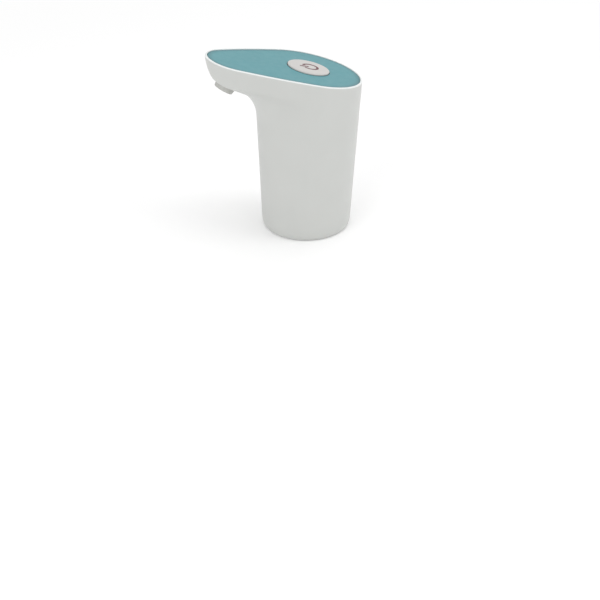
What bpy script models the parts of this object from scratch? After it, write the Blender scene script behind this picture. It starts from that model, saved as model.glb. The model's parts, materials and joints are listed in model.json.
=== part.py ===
"""A battery water pump that sits on the neck of a large water bottle.

The pump stands on its base rim, with the rim's flat face at z = 0 and its beak towards -X.
Lengths are in metres. Heights along the tilted top are measured square to the rim's plane.
"""

import math

import bmesh
import bpy
from mathutils import Matrix, Vector

MM = 0.001

# Moulded housing: a drafted round body that spreads into a beak under a tilted egg-shaped rim
FRONT_DRAFT = math.radians(1.9)
BASE_EDGE_RADIUS = 2.2 * MM
WALL = 2.5 * MM
RIM_TILT = math.radians(13.7)
RIM_WIDTH = 1.5 * MM
RIM_EDGE_RADIUS = 0.6 * MM
ARCH_RADIUS = 34.3 * MM
BELLY_ANGLE = math.radians(26.7)
CHIN_RADIUS = 9.0 * MM
CHIN_ANGLE = math.radians(67.4)
NOSE_PROFILE_RADIUS = 42.0 * MM
TIP_ANGLE = math.radians(87.1)

# Egg outline of the top panel: a tail arc, a nose arc and two long side arcs
TAIL_RADIUS = 37.9 * MM
NOSE_RADIUS = 22.3 * MM
SIDE_RADIUS = 311.0 * MM
NOSE_DISTANCE = 54.3 * MM
EGG_SETBACK = 1.95 * MM

# Gaps between pieces
SEAT_GAP = 0.3 * MM
PANEL_GAP = 0.25 * MM
CUT_OVERRUN = 2.0 * MM
JOIN_OVERLAP = 0.5 * MM

# Panel and the ledge that carries it
PANEL_THICKNESS = 2.0 * MM
PANEL_RECESS = 0.3 * MM
PANEL_EDGE_RADIUS = 0.3 * MM
LEDGE_WIDTH = 2.2 * MM
LEDGE_THICKNESS = 1.8 * MM
LEDGE_GUSSET = 2.5 * MM
HOOK_WIDTH = 6.0 * MM
HOOK_THICKNESS = 1.2 * MM
HOOK_DROP = 4.6 * MM
HOOK_CATCH = 0.7 * MM
HOOK_CATCH_HEIGHT = 1.0 * MM

# Power button and its switch
BUTTON_RADIUS = 15.4 * MM
BUTTON_SETBACK = 1.6 * MM
BUTTON_CLEARANCE = 0.35 * MM
BUTTON_PROUD = 0.9 * MM
BUTTON_ROOF = 1.6 * MM
BUTTON_SKIRT = 1.1 * MM
BUTTON_FLANGE = 1.3 * MM
BUTTON_FLANGE_THICKNESS = 0.9 * MM
BUTTON_EDGE_RADIUS = 0.45 * MM
PLUNGER_RADIUS = 2.2 * MM
SWITCH_SIDE = 6.2 * MM
SWITCH_HEIGHT = 3.5 * MM
SWITCH_STEM_RADIUS = 1.7 * MM
SWITCH_STEM_HEIGHT = 1.5 * MM
SWITCH_WELL_DEPTH = 1.4 * MM

# Control board, parallel to the panel
BOARD_DEPTH = 9.0 * MM
BOARD_THICKNESS = 1.6 * MM
BOARD_FRONT = 18.5 * MM
BOARD_REAR = 23.5 * MM
BOARD_WIDTH = 31.0 * MM
BOARD_CORNER_RADIUS = 4.0 * MM
CHIP_LENGTH = 6.0 * MM
CHIP_WIDTH = 5.0 * MM
CHIP_HEIGHT = 1.6 * MM
CHIP_SETBACK = 12.0 * MM
BOARD_SCREW_SPAN = 24.0 * MM
BOARD_SCREW_RADIUS = 1.0 * MM
BOARD_SCREW_LENGTH = 5.0 * MM
BOARD_SCREW_HEAD_RADIUS = 2.0 * MM
BOARD_SCREW_HEAD_HEIGHT = 1.2 * MM

# Nozzle under the beak
NOZZLE_ANGLE = math.radians(32.0)
NOZZLE_SETBACK = 6.5 * MM
COLLAR_RADIUS = 7.4 * MM
COLLAR_TAPER = 0.5 * MM
COLLAR_PROJECTION = 3.8 * MM
COLLAR_DEPTH = 5.0 * MM
COLLAR_FLANGE = 1.3 * MM
COLLAR_FLANGE_THICKNESS = 1.4 * MM
COLLAR_EDGE_RADIUS = 0.5 * MM
COLLAR_RECESS_RADIUS = 5.6 * MM
COLLAR_RECESS_DEPTH = 2.0 * MM
NOZZLE_TUBE_RADIUS = 3.2 * MM
NOZZLE_BORE_RADIUS = 2.5 * MM
NOZZLE_BEND_RADIUS = 5.2 * MM
NOZZLE_TAIL_LENGTH = 9.0 * MM
SEAL_RING_RADIUS = 0.6 * MM
SEAL_GROOVE_DEPTH = 1.9 * MM

# Cup that takes the bottle's neck
SOCKET_BORE_RADIUS = 28.4 * MM
SOCKET_DEPTH = 29.9 * MM
SOCKET_FLOOR = 2.3 * MM
SOCKET_WALL = 2.2 * MM
SOCKET_GAP = 0.4 * MM
SOCKET_LEAD_IN = 1.0 * MM
SOCKET_EDGE = 0.5 * MM
GASKET_THICKNESS = 2.4 * MM
GASKET_WIDTH = 9.1 * MM
GASKET_EDGE = 0.6 * MM
SOCKET_SCREW_INSET = 0.8 * MM
SOCKET_SCREW_ANGLES = tuple(math.radians(degrees) for degrees in (75, -75, 150, -150))
SOCKET_SCREW_RADIUS = 1.4 * MM
SOCKET_SCREW_HEAD_RADIUS = 2.7 * MM
SOCKET_SCREW_HEAD_HEIGHT = 1.2 * MM
SOCKET_SCREW_LENGTH = 14.0 * MM
BOSS_RADIUS = 3.2 * MM
BOSS_HEIGHT = 22.0 * MM
BOSS_WEB = 1.6 * MM
BOSS_WEB_INSET = 0.8 * MM

# Inlet spigot through the cup's floor
SPIGOT_RADIUS = 3.9 * MM
SPIGOT_BORE_RADIUS = 2.0 * MM
SPIGOT_FLANGE_RADIUS = 6.6 * MM
SPIGOT_FLANGE_THICKNESS = 1.6 * MM
SPIGOT_WASHER_THICKNESS = 1.2 * MM
SPIGOT_DROP = 14.0 * MM
BARB_LENGTH = 6.6 * MM
BARB_STEM_RADIUS = 2.9 * MM
BARB_LIP = 0.35 * MM
BARB_COUNT = 2
BARB_GAP = 0.4 * MM

# Hoses
HOSE_RADIUS = 4.6 * MM
HOSE_BORE_RADIUS = 3.45 * MM
OUTLET_HOSE_OFFSET = 27.0 * MM
OUTLET_BEND_RADIUS = 17.0 * MM
CLIP_THICKNESS = 0.8 * MM
CLIP_WIDTH = 3.0 * MM

# Diaphragm pump, from its head upwards
PUMP_RADIUS = 13.5 * MM
INLET_PORT_OFFSET = 7.2 * MM
PORT_BORE_RADIUS = 1.8 * MM
HEAD_THICKNESS = 6.0 * MM
CHAMBER_DEPTH = 4.4 * MM
OUTLET_CHAMBER_RADIUS = 4.2 * MM
INLET_CHAMBER_INNER_RADIUS = 5.1 * MM
INLET_CHAMBER_OUTER_RADIUS = 9.3 * MM
OUTLET_PIPE_RADIUS = 2.7 * MM
OUTLET_ELBOW_RADIUS = 5.0 * MM
VALVE_PLATE_THICKNESS = 2.4 * MM
DIAPHRAGM_THICKNESS = 1.2 * MM
DIAPHRAGM_INSET = 0.3 * MM
CUP_CIRCLE = 6.6 * MM
CUP_RADIUS = 4.1 * MM
CUP_HEIGHT = 4.6 * MM
CUP_WALL = 0.7 * MM
CUP_STEM_RADIUS = 1.0 * MM
CUP_STEM_LENGTH = 4.9 * MM
CUP_COUNT = 3
CUP_PHASE = math.radians(30)
VALVE_DISC_RADIUS = 2.3 * MM
VALVE_DISC_THICKNESS = 0.5 * MM
VALVE_STEM_RADIUS = 0.7 * MM
OUTLET_VALVE_RADIUS = 3.7 * MM
VALVE_PORT_RADIUS = 0.6 * MM
CASE_WALL = 1.5 * MM
CASE_ROOF = 2.2 * MM
CASE_HOLE_RADIUS = 4.6 * MM
PUMP_SCREW_CIRCLE = 11.2 * MM
PUMP_SCREW_RADIUS = 1.0 * MM
PUMP_SCREW_HEAD_RADIUS = 1.9 * MM
PUMP_SCREW_HEAD_HEIGHT = 1.3 * MM
PUMP_SCREW_LENGTH = 16.0 * MM
CASE_BOSS_RADIUS = 2.1 * MM
CASE_BOSS_HEIGHT = 9.0 * MM

# Wobble drive between the motor and the diaphragm
WOBBLE_ANGLE = math.radians(7.0)
WOBBLE_PIVOT_RISE = 2.7 * MM
WOBBLE_PLATE_THICKNESS = 2.0 * MM
WOBBLE_HUB_RADIUS = 2.8 * MM
WOBBLE_HUB_HEIGHT = 3.0 * MM
WOBBLE_ARM_WIDTH = 4.2 * MM
WOBBLE_EYE_RADIUS = 2.3 * MM
WOBBLE_EYE_BOSS = 0.3 * MM
WOBBLE_PIN_RADIUS = 0.9 * MM
WHEEL_RADIUS = 7.6 * MM
WHEEL_THICKNESS = 4.0 * MM
WHEEL_GAP = 1.0 * MM
WHEEL_ROOF_GAP = 0.4 * MM
WHEEL_BEVEL = 0.5 * MM
PIN_ENGAGEMENT = 1.5 * MM
SHAFT_ENGAGEMENT = 1.5 * MM

# Brushed motor
MOTOR_RADIUS = 12.2 * MM
MOTOR_LENGTH = 30.8 * MM
MOTOR_WALL = 0.9 * MM
MOTOR_EDGE = 1.2 * MM
MOTOR_CAP_THICKNESS = 3.2 * MM
MOTOR_CAP_SPIGOT = 2.0 * MM
SHAFT_RADIUS = 1.0 * MM
SHAFT_TAIL = 0.8 * MM
BEARING_RADIUS = 3.0 * MM
BEARING_LENGTH = 3.6 * MM
BEARING_NECK = 1.2 * MM
MAGNET_THICKNESS = 2.2 * MM
MAGNET_LENGTH = 19.0 * MM
MAGNET_SPAN = math.radians(140)
ARMATURE_RADIUS = 8.0 * MM
ARMATURE_CORE_RADIUS = 4.0 * MM
ARMATURE_LENGTH = 14.0 * MM
ARMATURE_SLOT = 2.4 * MM
ARMATURE_SLOTS = 3
COMMUTATOR_RADIUS = 2.6 * MM
COMMUTATOR_LENGTH = 4.0 * MM
TERMINAL_WIDTH = 2.6 * MM
TERMINAL_THICKNESS = 0.5 * MM
TERMINAL_HEIGHT = 2.2 * MM
TERMINAL_SPACING = 15.0 * MM
TERMINAL_HEADROOM = 0.5 * MM

# Battery cell with its tabs
CELL_WALL_GAP = 1.6 * MM
CELL_HEADROOM = 0.5 * MM
CELL_RADIUS = 9.2 * MM
CELL_LENGTH = 65.0 * MM
CELL_EDGE = 0.8 * MM
CELL_CAP_RADIUS = 3.2 * MM
CELL_CAP_HEIGHT = 0.6 * MM
CELL_RISE = 1.2 * MM
TAB_WIDTH = 5.0 * MM
TAB_LENGTH = 9.0 * MM
TAB_THICKNESS = 0.3 * MM

# Charging board with its socket behind a port in the rear wall
CHARGE_BOARD_RISE = 1.4 * MM
CHARGE_BOARD_THICKNESS = 1.2 * MM
CHARGE_BOARD_WIDTH = 16.0 * MM
CHARGE_BOARD_LENGTH = 16.5 * MM
CHARGE_BOARD_SETBACK = 2.1 * MM
USB_WIDTH = 8.9 * MM
USB_HEIGHT = 3.2 * MM
USB_LENGTH = 7.3 * MM
USB_CORNER_RADIUS = 1.4 * MM
USB_WALL = 0.35 * MM
USB_SETBACK = 1.4 * MM
PORT_SLEEVE_WALL = 0.8 * MM
LIGHT_RADIUS = 1.2 * MM
LIGHT_OFFSET = 9.6 * MM
LIGHT_INSET = 0.15 * MM
LED_SIDE = 1.6 * MM

# Moulded frame that holds the pump, cell and boards
FRAME_FLOOR = 2.0 * MM
FRAME_GAP = 1.6 * MM
SPINE_THICKNESS = 2.8 * MM
SPINE_WIDTH = 29.0 * MM
SPINE_CELL_GAP = 1.5 * MM
CLAMP_WALL = 1.9 * MM
CLAMP_HEIGHT = 7.0 * MM
CELL_CLAMP_WALL = 1.5 * MM
CELL_SHELF = 1.4 * MM
BOARD_POST_RADIUS = 2.3 * MM
BOARD_POST_LENGTH = 9.0 * MM
BOARD_POST_GAP = 2.0 * MM

# Wires
WIRE_RADIUS = 0.7 * MM
WIRE_BEVEL_STEPS = 2
WIRE_POINTS_PER_LEG = 5

# Facets
TAIL_STEPS = 20
SIDE_STEPS = 7
NOSE_STEPS = 10
ARC_STEPS = 5
BELLY_STEPS = 2
CHIN_STEPS = 3
NOSE_PROFILE_STEPS = 2
FINE_STEPS = 32
ROUND_STEPS = 20
SMALL_STEPS = 10
TINY_STEPS = 6
RING_SIDES = 6
SMOOTH_ANGLE = math.radians(35)


# Shared tools


def clear_scene():
    """Remove every object that the scene starts with."""
    for old in list(bpy.data.objects):
        bpy.data.objects.remove(old, do_unlink=True)


def material(name, colour, roughness, metallic=0):
    """A Principled material, made once for each name."""
    found = bpy.data.materials.get(name)
    if found:
        return found
    made = bpy.data.materials.new(name)
    made.use_nodes = True
    shader = made.node_tree.nodes["Principled BSDF"]
    shader.inputs["Base Color"].default_value = (*colour, 1)
    shader.inputs["Roughness"].default_value = roughness
    shader.inputs["Metallic"].default_value = metallic
    made.diffuse_color = (*colour, 1)
    return made


def housing_white():
    """Satin off-white housing plastic."""
    return material("housing_white", (0.62, 0.62, 0.60), 0.45)


def panel_teal():
    """Satin teal plastic."""
    return material("panel_teal", (0.19, 0.38, 0.41), 0.4)


def button_silver():
    """Pale silver plastic."""
    return material("button_silver", (0.66, 0.65, 0.63), 0.35)


def collar_grey():
    """Light grey plastic."""
    return material("collar_grey", (0.42, 0.42, 0.40), 0.5)


def frame_plastic():
    """Natural white plastic of the hidden mouldings."""
    return material("frame_plastic", (0.55, 0.55, 0.52), 0.55)


def black_plastic():
    """Black plastic of the pump and small parts."""
    return material("black_plastic", (0.03, 0.03, 0.03), 0.5)


def silicone():
    """Milky silicone."""
    return material("silicone", (0.6, 0.62, 0.62), 0.4)


def rubber():
    """Dark rubber."""
    return material("rubber", (0.05, 0.05, 0.05), 0.8)


def steel():
    """Bright steel."""
    return material("steel", (0.6, 0.6, 0.6), 0.25, 1)


def dark_steel():
    """Laminated or magnetic iron."""
    return material("dark_steel", (0.15, 0.15, 0.16), 0.5, 1)


def copper():
    """Copper."""
    return material("copper", (0.75, 0.35, 0.2), 0.3, 1)


def bronze():
    """Sintered bronze."""
    return material("bronze", (0.55, 0.38, 0.18), 0.4, 1)


def board_green():
    """Circuit board."""
    return material("board_green", (0.02, 0.16, 0.07), 0.4)


def cell_sleeve():
    """Shrink sleeve of the battery cell."""
    return material("cell_sleeve", (0.05, 0.15, 0.4), 0.35)


def light_clear():
    """Milky light pipe."""
    return material("light_clear", (0.8, 0.8, 0.8), 0.2)


def wire_red():
    """Red wire insulation."""
    return material("wire_red", (0.5, 0.03, 0.03), 0.5)


def wire_black():
    """Black wire insulation."""
    return material("wire_black", (0.02, 0.02, 0.02), 0.5)


def finish(name, work, look, parent, place=None):
    """Turn a bmesh into a named, smooth-shaded object under its parent."""
    bmesh.ops.recalc_face_normals(work, faces=work.faces)
    if work.calc_volume(signed=True) < 0:
        bmesh.ops.reverse_faces(work, faces=work.faces)
    mesh = bpy.data.meshes.new(name)
    work.to_mesh(mesh)
    work.free()
    mesh.materials.append(look)
    mesh.shade_smooth()
    mesh.set_sharp_from_angle(angle=SMOOTH_ANGLE)
    made = bpy.data.objects.new(name, mesh)
    bpy.context.scene.collection.objects.link(made)
    if place is not None:
        made.matrix_basis = place
    made.parent = parent
    return made


def empty(name, parent, place):
    """An empty that carries a group of pieces."""
    made = bpy.data.objects.new(name, None)
    bpy.context.scene.collection.objects.link(made)
    made.parent = parent
    made.matrix_basis = place
    return made


def lofted(rings, closed):
    """Bridge rings of equal count in order, closing the loop or capping both ends."""
    work = bmesh.new()
    loops = [[work.verts.new(point) for point in ring] for ring in rings]
    pairs = list(zip(loops, loops[1:]))
    if closed:
        pairs.append((loops[-1], loops[0]))
    for lower, upper in pairs:
        for here in range(len(lower)):
            after = (here + 1) % len(lower)
            work.faces.new((lower[here], lower[after], upper[after], upper[here]))
    if not closed:
        work.faces.new(loops[0])
        work.faces.new(loops[-1])
    return work


def ring_of(radius, height, steps, centre=(0, 0), start=0):
    """Points of a level circle."""
    turns = [start + 2 * math.pi * step / steps for step in range(steps)]
    x, y = centre
    return [Vector((x + radius * math.cos(t), y + radius * math.sin(t), height)) for t in turns]


def revolved(profile, steps):
    """A turned solid from (radius, height) points, as a ring if its profile closes off the axis.

    A profile that starts and ends at radius zero becomes a solid bar.
    """
    solid = profile[0][0] == 0 and profile[-1][0] == 0
    inner = profile[1:-1] if solid else profile
    return lofted([ring_of(radius, height, steps) for radius, height in inner], not solid)


def bar_profile(radius, low, high, edge=0):
    """Profile of a solid round bar with optional chamfers."""
    if not edge:
        return [(0, low), (radius, low), (radius, high), (0, high)]
    return [
        (0, low),
        (radius - edge, low),
        (radius, low + edge),
        (radius, high - edge),
        (radius - edge, high),
        (0, high),
    ]


def ring_profile(outer, inner, low, high):
    """Profile of a plain ring."""
    return [(inner, low), (outer, low), (outer, high), (inner, high)]


def boxed(size, centre, bevel=0):
    """A box with optional rounded edges."""
    work = bmesh.new()
    bmesh.ops.create_cube(work, size=1)
    bmesh.ops.scale(work, vec=Vector(size), verts=work.verts)
    bmesh.ops.translate(work, vec=Vector(centre), verts=work.verts)
    if bevel:
        bmesh.ops.bevel(work, geom=work.edges[:], offset=bevel, segments=1, affect="EDGES")
    return work


def extruded(section, width):
    """A section of (y, z) points drawn out along X, centred on it."""
    work = bmesh.new()
    corners = [work.verts.new((-width / 2, y, z)) for y, z in section]
    face = work.faces.new(corners)
    pulled = bmesh.ops.extrude_face_region(work, geom=[face])["geom"]
    shifted = [item for item in pulled if isinstance(item, bmesh.types.BMVert)]
    bmesh.ops.translate(work, vec=Vector((width, 0, 0)), verts=shifted)
    return work


def helper(work, name, parent, place=None):
    """An object that only shapes others."""
    made = finish(name, work, frame_plastic(), parent, place)
    made.hide_render = True
    made.display_type = "WIRE"
    return made


def change(target, tool, operation):
    """Cut a helper from an object, or join it on."""
    step = target.modifiers.new(f"{operation.lower()}_{tool.name}"[:60], "BOOLEAN")
    step.operation = operation
    step.solver = "EXACT"
    step.object = tool


def cut(target, tool):
    """Take a helper away from an object."""
    change(target, tool, "DIFFERENCE")


def join(target, tool):
    """Add a helper to an object."""
    change(target, tool, "UNION")


def moved(x, y, z):
    """A placement without turn."""
    return Matrix.Translation((x, y, z))


def swept_rings(path, radius, steps):
    """Rings square to a path in the XZ plane, from its first point to its last."""
    rings = []
    for index, point in enumerate(path):
        before = path[max(index - 1, 0)]
        after = path[min(index + 1, len(path) - 1)]
        along = (after - before).normalized()
        side = Vector((0, 1, 0))
        up = along.cross(side)
        ring = []
        for step in range(steps):
            turn = 2 * math.pi * step / steps
            ring.append(point + radius * (math.cos(turn) * side + math.sin(turn) * up))
        rings.append(ring)
    return rings


def swept_tube(path, outer, inner, steps):
    """A hollow tube along a path in the XZ plane."""
    return lofted(swept_rings(path, outer, steps) + swept_rings(path, inner, steps)[::-1], True)


def arc_points(centre, radius, start, end, steps):
    """Points of an arc in the XZ plane, angles measured from +X towards +Z."""
    points = []
    for step in range(steps + 1):
        turn = start + (end - start) * step / steps
        points.append(centre + radius * Vector((math.cos(turn), 0, math.sin(turn))))
    return points


# Sizes that the contents settle


def motor_reach():
    """Rearmost reach of the ring that holds the motor."""
    return pump_x() + MOTOR_RADIUS + SEAT_GAP + CLAMP_WALL


def spine_rear():
    """Rear face of the frame's spine, whose front the motor's ring runs into."""
    return motor_reach() - JOIN_OVERLAP + SPINE_THICKNESS


def cell_offset():
    """Place of the cell's axis, behind the spine."""
    return spine_rear() + SPINE_CELL_GAP + CELL_RADIUS


def base_radius():
    """Radius of the housing's foot, round the neck socket and the cell."""
    round_socket = SOCKET_BORE_RADIUS + SOCKET_WALL + SOCKET_GAP + WALL
    round_cell = cell_offset() + CELL_RADIUS + CELL_WALL_GAP + WALL
    return max(round_socket, round_cell)


def board_drop(forward):
    """Depth of the control board's underside, below the rim's height, at a place along the rim."""
    under = BOARD_DEPTH + BOARD_THICKNESS
    return under * math.cos(RIM_TILT) - forward * math.sin(RIM_TILT)


def rim_height():
    """Height of the rim's plane at the axis, which clears the cell and the motor under the board."""
    tab_top = cell_top() + CELL_CAP_HEIGHT + SEAT_GAP + TAB_THICKNESS
    over_cell = tab_top + CELL_HEADROOM + board_drop(-BOARD_REAR)
    over_motor = terminal_top() + TERMINAL_HEADROOM + board_drop(-pump_x() - TERMINAL_WIDTH)
    return max(over_cell, over_motor)


# Egg outline and tilted rim plane


def egg_arcs():
    """Arcs of the egg as (centre, radius, start, end, steps), anticlockwise from the nose's axis."""
    tail_reach = SIDE_RADIUS - TAIL_RADIUS
    nose_reach = SIDE_RADIUS - NOSE_RADIUS
    along = (tail_reach**2 - nose_reach**2 + NOSE_DISTANCE**2) / (2 * NOSE_DISTANCE)
    across = math.sqrt(tail_reach**2 - along**2)
    to_nose = math.atan2(across, NOSE_DISTANCE - along)
    to_tail = math.atan2(across, -along)
    tail = Vector((-EGG_SETBACK, 0))
    nose = Vector((NOSE_DISTANCE - EGG_SETBACK, 0))
    left = Vector((along - EGG_SETBACK, -across))
    right = Vector((along - EGG_SETBACK, across))
    half_nose = NOSE_STEPS // 2
    return [
        (nose, NOSE_RADIUS, 0, to_nose, half_nose),
        (left, SIDE_RADIUS, to_nose, to_tail, SIDE_STEPS),
        (tail, TAIL_RADIUS, to_tail, 2 * math.pi - to_tail, TAIL_STEPS),
        (right, SIDE_RADIUS, 2 * math.pi - to_tail, 2 * math.pi - to_nose, SIDE_STEPS),
        (nose, NOSE_RADIUS, 2 * math.pi - to_nose, 2 * math.pi, half_nose),
    ]


def egg(offset):
    """Points of the egg outline moved outwards by an offset, in (forward, left) lengths."""
    points = []
    for centre, radius, start, end, steps in egg_arcs():
        for step in range(steps):
            turn = start + (end - start) * step / steps
            reach = radius + offset
            points.append(centre + reach * Vector((math.cos(turn), math.sin(turn))))
    return points


def on_rim(forward, left, rise):
    """A point given by its place in the rim's plane and its height square to it."""
    reach = forward * math.cos(RIM_TILT) - rise * math.sin(RIM_TILT)
    height = rim_height() + forward * math.sin(RIM_TILT) + rise * math.cos(RIM_TILT)
    return Vector((-reach, left, height))


def rim_place():
    """Placement whose X runs along the rim towards the beak, and whose Z is square to it."""
    forward = Vector((-math.cos(RIM_TILT), 0, math.sin(RIM_TILT)))
    up = Vector((math.sin(RIM_TILT), 0, math.cos(RIM_TILT)))
    left = up.cross(forward)
    turn = Matrix((forward, left, up)).transposed().to_4x4()
    return Matrix.Translation((0, 0, rim_height())) @ turn


def egg_ring(offset, rise):
    """The egg as a ring in space."""
    return [on_rim(point.x, point.y, rise) for point in egg(offset)]


# Housing surface


def rear_slope():
    """Slope that takes the rear wall straight from the base to the rim."""
    tail = on_rim(-EGG_SETBACK - TAIL_RADIUS - rim_offset(), 0, -RIM_EDGE_RADIUS)
    return (tail.x - base_radius()) / tail.z


def body_radius(height, forward_share):
    """Radius of the drafted body at a height, where 1 faces the beak and -1 faces the rear."""
    front = math.tan(FRONT_DRAFT)
    rear_share = (1 - forward_share) / 2
    return base_radius() + height * (front + (rear_slope() - front) * rear_share)


def front_radius(height):
    """Radius of the body's front line."""
    return body_radius(height, 1)


def rear_radius(height):
    """Radius of the body's rear line."""
    return body_radius(height, -1)


def rim_offset():
    """How far the rim's outer edge stands outside the panel's outline."""
    return PANEL_GAP + RIM_WIDTH


def tip_point():
    """Foremost point of the rim's side, as (reach, height)."""
    nose = max(egg(rim_offset()), key=lambda point: point.x)
    tip = on_rim(nose.x, 0, -RIM_EDGE_RADIUS)
    return Vector((-tip.x, tip.z))


def nose_centre():
    """Centre of the nose's side profile, as (reach, height)."""
    return tip_point() + NOSE_PROFILE_RADIUS * Vector((-math.sin(TIP_ANGLE), math.cos(TIP_ANGLE)))


def chin_centre():
    """Centre of the chin's arc, which turns from the nose to the belly line."""
    direction = Vector((math.sin(CHIN_ANGLE), -math.cos(CHIN_ANGLE)))
    return nose_centre() + (NOSE_PROFILE_RADIUS - CHIN_RADIUS) * direction


def nose_point(slope):
    """Point of the nose's side profile where it has this slope."""
    return nose_centre() + NOSE_PROFILE_RADIUS * Vector((math.sin(slope), -math.cos(slope)))


def chin_point(slope):
    """Point of the chin where the side profile has this slope."""
    return chin_centre() + CHIN_RADIUS * Vector((math.sin(slope), -math.cos(slope)))


def arch_centre():
    """Centre of the arch that is tangent to the body's front line and to the belly line."""
    front = Vector((math.sin(FRONT_DRAFT), math.cos(FRONT_DRAFT)))
    foot = Vector((base_radius(), 0)) + ARCH_RADIUS * Vector((front.y, -front.x))
    belly = Vector((math.cos(BELLY_ANGLE), math.sin(BELLY_ANGLE)))
    drop = ARCH_RADIUS * Vector((belly.y, -belly.x))
    start = chin_point(BELLY_ANGLE) + drop
    gap = start - foot
    along = (gap.x * belly.y - gap.y * belly.x) / (front.x * belly.y - front.y * belly.x)
    return foot + along * front


def beak_profile():
    """Side profile from the top of the body's front line to the tip, as (reach, height)."""
    centre = arch_centre()
    points = []
    for step in range(ARC_STEPS + 1):
        slope = math.pi / 2 - FRONT_DRAFT
        slope += (BELLY_ANGLE - slope) * step / ARC_STEPS
        points.append(centre + ARCH_RADIUS * Vector((-math.sin(slope), math.cos(slope))))
    belly_end = chin_point(BELLY_ANGLE)
    for step in range(1, BELLY_STEPS):
        points.append(points[ARC_STEPS].lerp(belly_end, step / BELLY_STEPS))
    for step in range(CHIN_STEPS + 1):
        slope = BELLY_ANGLE + (CHIN_ANGLE - BELLY_ANGLE) * step / CHIN_STEPS
        points.append(chin_point(slope))
    for step in range(1, NOSE_PROFILE_STEPS + 1):
        slope = CHIN_ANGLE + (TIP_ANGLE - CHIN_ANGLE) * step / NOSE_PROFILE_STEPS
        points.append(nose_point(slope))
    return points


def profile_shares():
    """The side profile as (share of the height, share of the reach beyond the body)."""
    points = beak_profile()
    low = points[0].y
    tip = points[-1]
    reach = tip.x - front_radius(tip.y)
    return [((p.y - low) / (tip.y - low), (p.x - front_radius(p.y)) / reach) for p in points]


def share_at(shares, height_share):
    """Share of the reach at a share of the height."""
    for (low, inner), (high, outer) in zip(shares, shares[1:]):
        if height_share <= high:
            return inner + (outer - inner) * (height_share - low) / (high - low)
    return shares[-1][1]


class Skin:
    """The housing's outer surface, one column for each point of the rim."""

    def __init__(self):
        self.shares = profile_shares()
        self.low = beak_profile()[0].y
        self.tops = egg_ring(rim_offset(), -RIM_EDGE_RADIUS)

    def point(self, column, height_share):
        """Surface point of a column at a share of the way from the body's top to the rim."""
        top = self.tops[column % len(self.tops)]
        flat = Vector((top.x, top.y))
        out = flat.normalized()
        height = self.low + height_share * (top.z - self.low)
        reach = flat.length - body_radius(top.z, -out.x)
        radius = body_radius(height, -out.x) + reach * share_at(self.shares, height_share)
        return Vector((*(radius * out), height))

    def body_point(self, column, height, inset):
        """A point of the round body in a column's direction, set in from the skin."""
        top = self.tops[column]
        out = Vector((top.x, top.y)).normalized()
        return Vector((*((body_radius(height, -out.x) - inset) * out), height))

    def inward(self, column, height_share):
        """Direction square to the surface, into the housing."""
        step_share = 0.01
        low_share = max(height_share - step_share, 0)
        up = self.point(column, height_share + step_share) - self.point(column, low_share)
        round_ = self.point(column + 1, height_share) - self.point(column - 1, height_share)
        return round_.cross(up).normalized()

    def share_at_depth(self, column, depth):
        """Share of the height at which a column lies this far under the rim's plane."""
        low, high = 0, 1
        for _ in range(30):
            middle = (low + high) / 2
            point = self.point(column, middle)
            rise = (point.z - rim_height()) * math.cos(RIM_TILT) + point.x * math.sin(RIM_TILT)
            if rise > -depth:
                high = middle
            else:
                low = middle
        return (low + high) / 2


def ledge_rise():
    """Height of the ledge's top from the rim's plane."""
    return -(PANEL_RECESS + PANEL_THICKNESS + SEAT_GAP)


def housing_rings():
    """Rings of the housing's section, up its outside, over the rim and down its inside."""
    skin = Skin()
    columns = range(len(skin.tops))
    rings = [[skin.body_point(c, 0, WALL) for c in columns]]
    edge_steps = ARC_STEPS // 2
    for step in range(edge_steps + 1):
        turn = math.pi / 2 * step / edge_steps
        height = BASE_EDGE_RADIUS * (1 - math.cos(turn))
        inset = BASE_EDGE_RADIUS * (1 - math.sin(turn))
        rings.append([skin.body_point(c, height, inset) for c in columns])
    for share, _ in skin.shares:
        rings.append([skin.point(c, share) for c in columns])
    outer = rim_offset()
    bend = RIM_EDGE_RADIUS * (1 - math.cos(math.pi / 4))
    rings.append(egg_ring(outer - bend, -bend))
    rings.append(egg_ring(outer - RIM_EDGE_RADIUS, 0))
    rings.append(egg_ring(PANEL_GAP, 0))
    rings.append(egg_ring(PANEL_GAP, ledge_rise()))
    rings.append(egg_ring(-LEDGE_WIDTH, ledge_rise()))
    rings.append(egg_ring(-LEDGE_WIDTH, ledge_rise() - LEDGE_THICKNESS))
    depth = LEDGE_THICKNESS + LEDGE_GUSSET - ledge_rise()
    tops = [skin.share_at_depth(c, depth) for c in columns]
    for step in range(len(skin.shares) - 1, -1, -2):
        part = step / (len(skin.shares) - 1)
        ring = []
        for c in columns:
            share = part * tops[c]
            ring.append(skin.point(c, share) + WALL * skin.inward(c, share))
        rings.append(ring)
    return rings


def screw_circle():
    """Radius of the circle of screws in the cup's floor, just inside its wall."""
    return SOCKET_BORE_RADIUS - SOCKET_SCREW_HEAD_RADIUS - SEAT_GAP - SOCKET_SCREW_INSET


def screw_centres():
    """Places of the screws that hold the cup and the frame."""
    return [
        (screw_circle() * math.cos(turn), screw_circle() * math.sin(turn))
        for turn in SOCKET_SCREW_ANGLES
    ]


def boss_foot():
    """Height at which the housing's screw bosses start, over the frame's floor."""
    return frame_top() + SEAT_GAP


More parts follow.
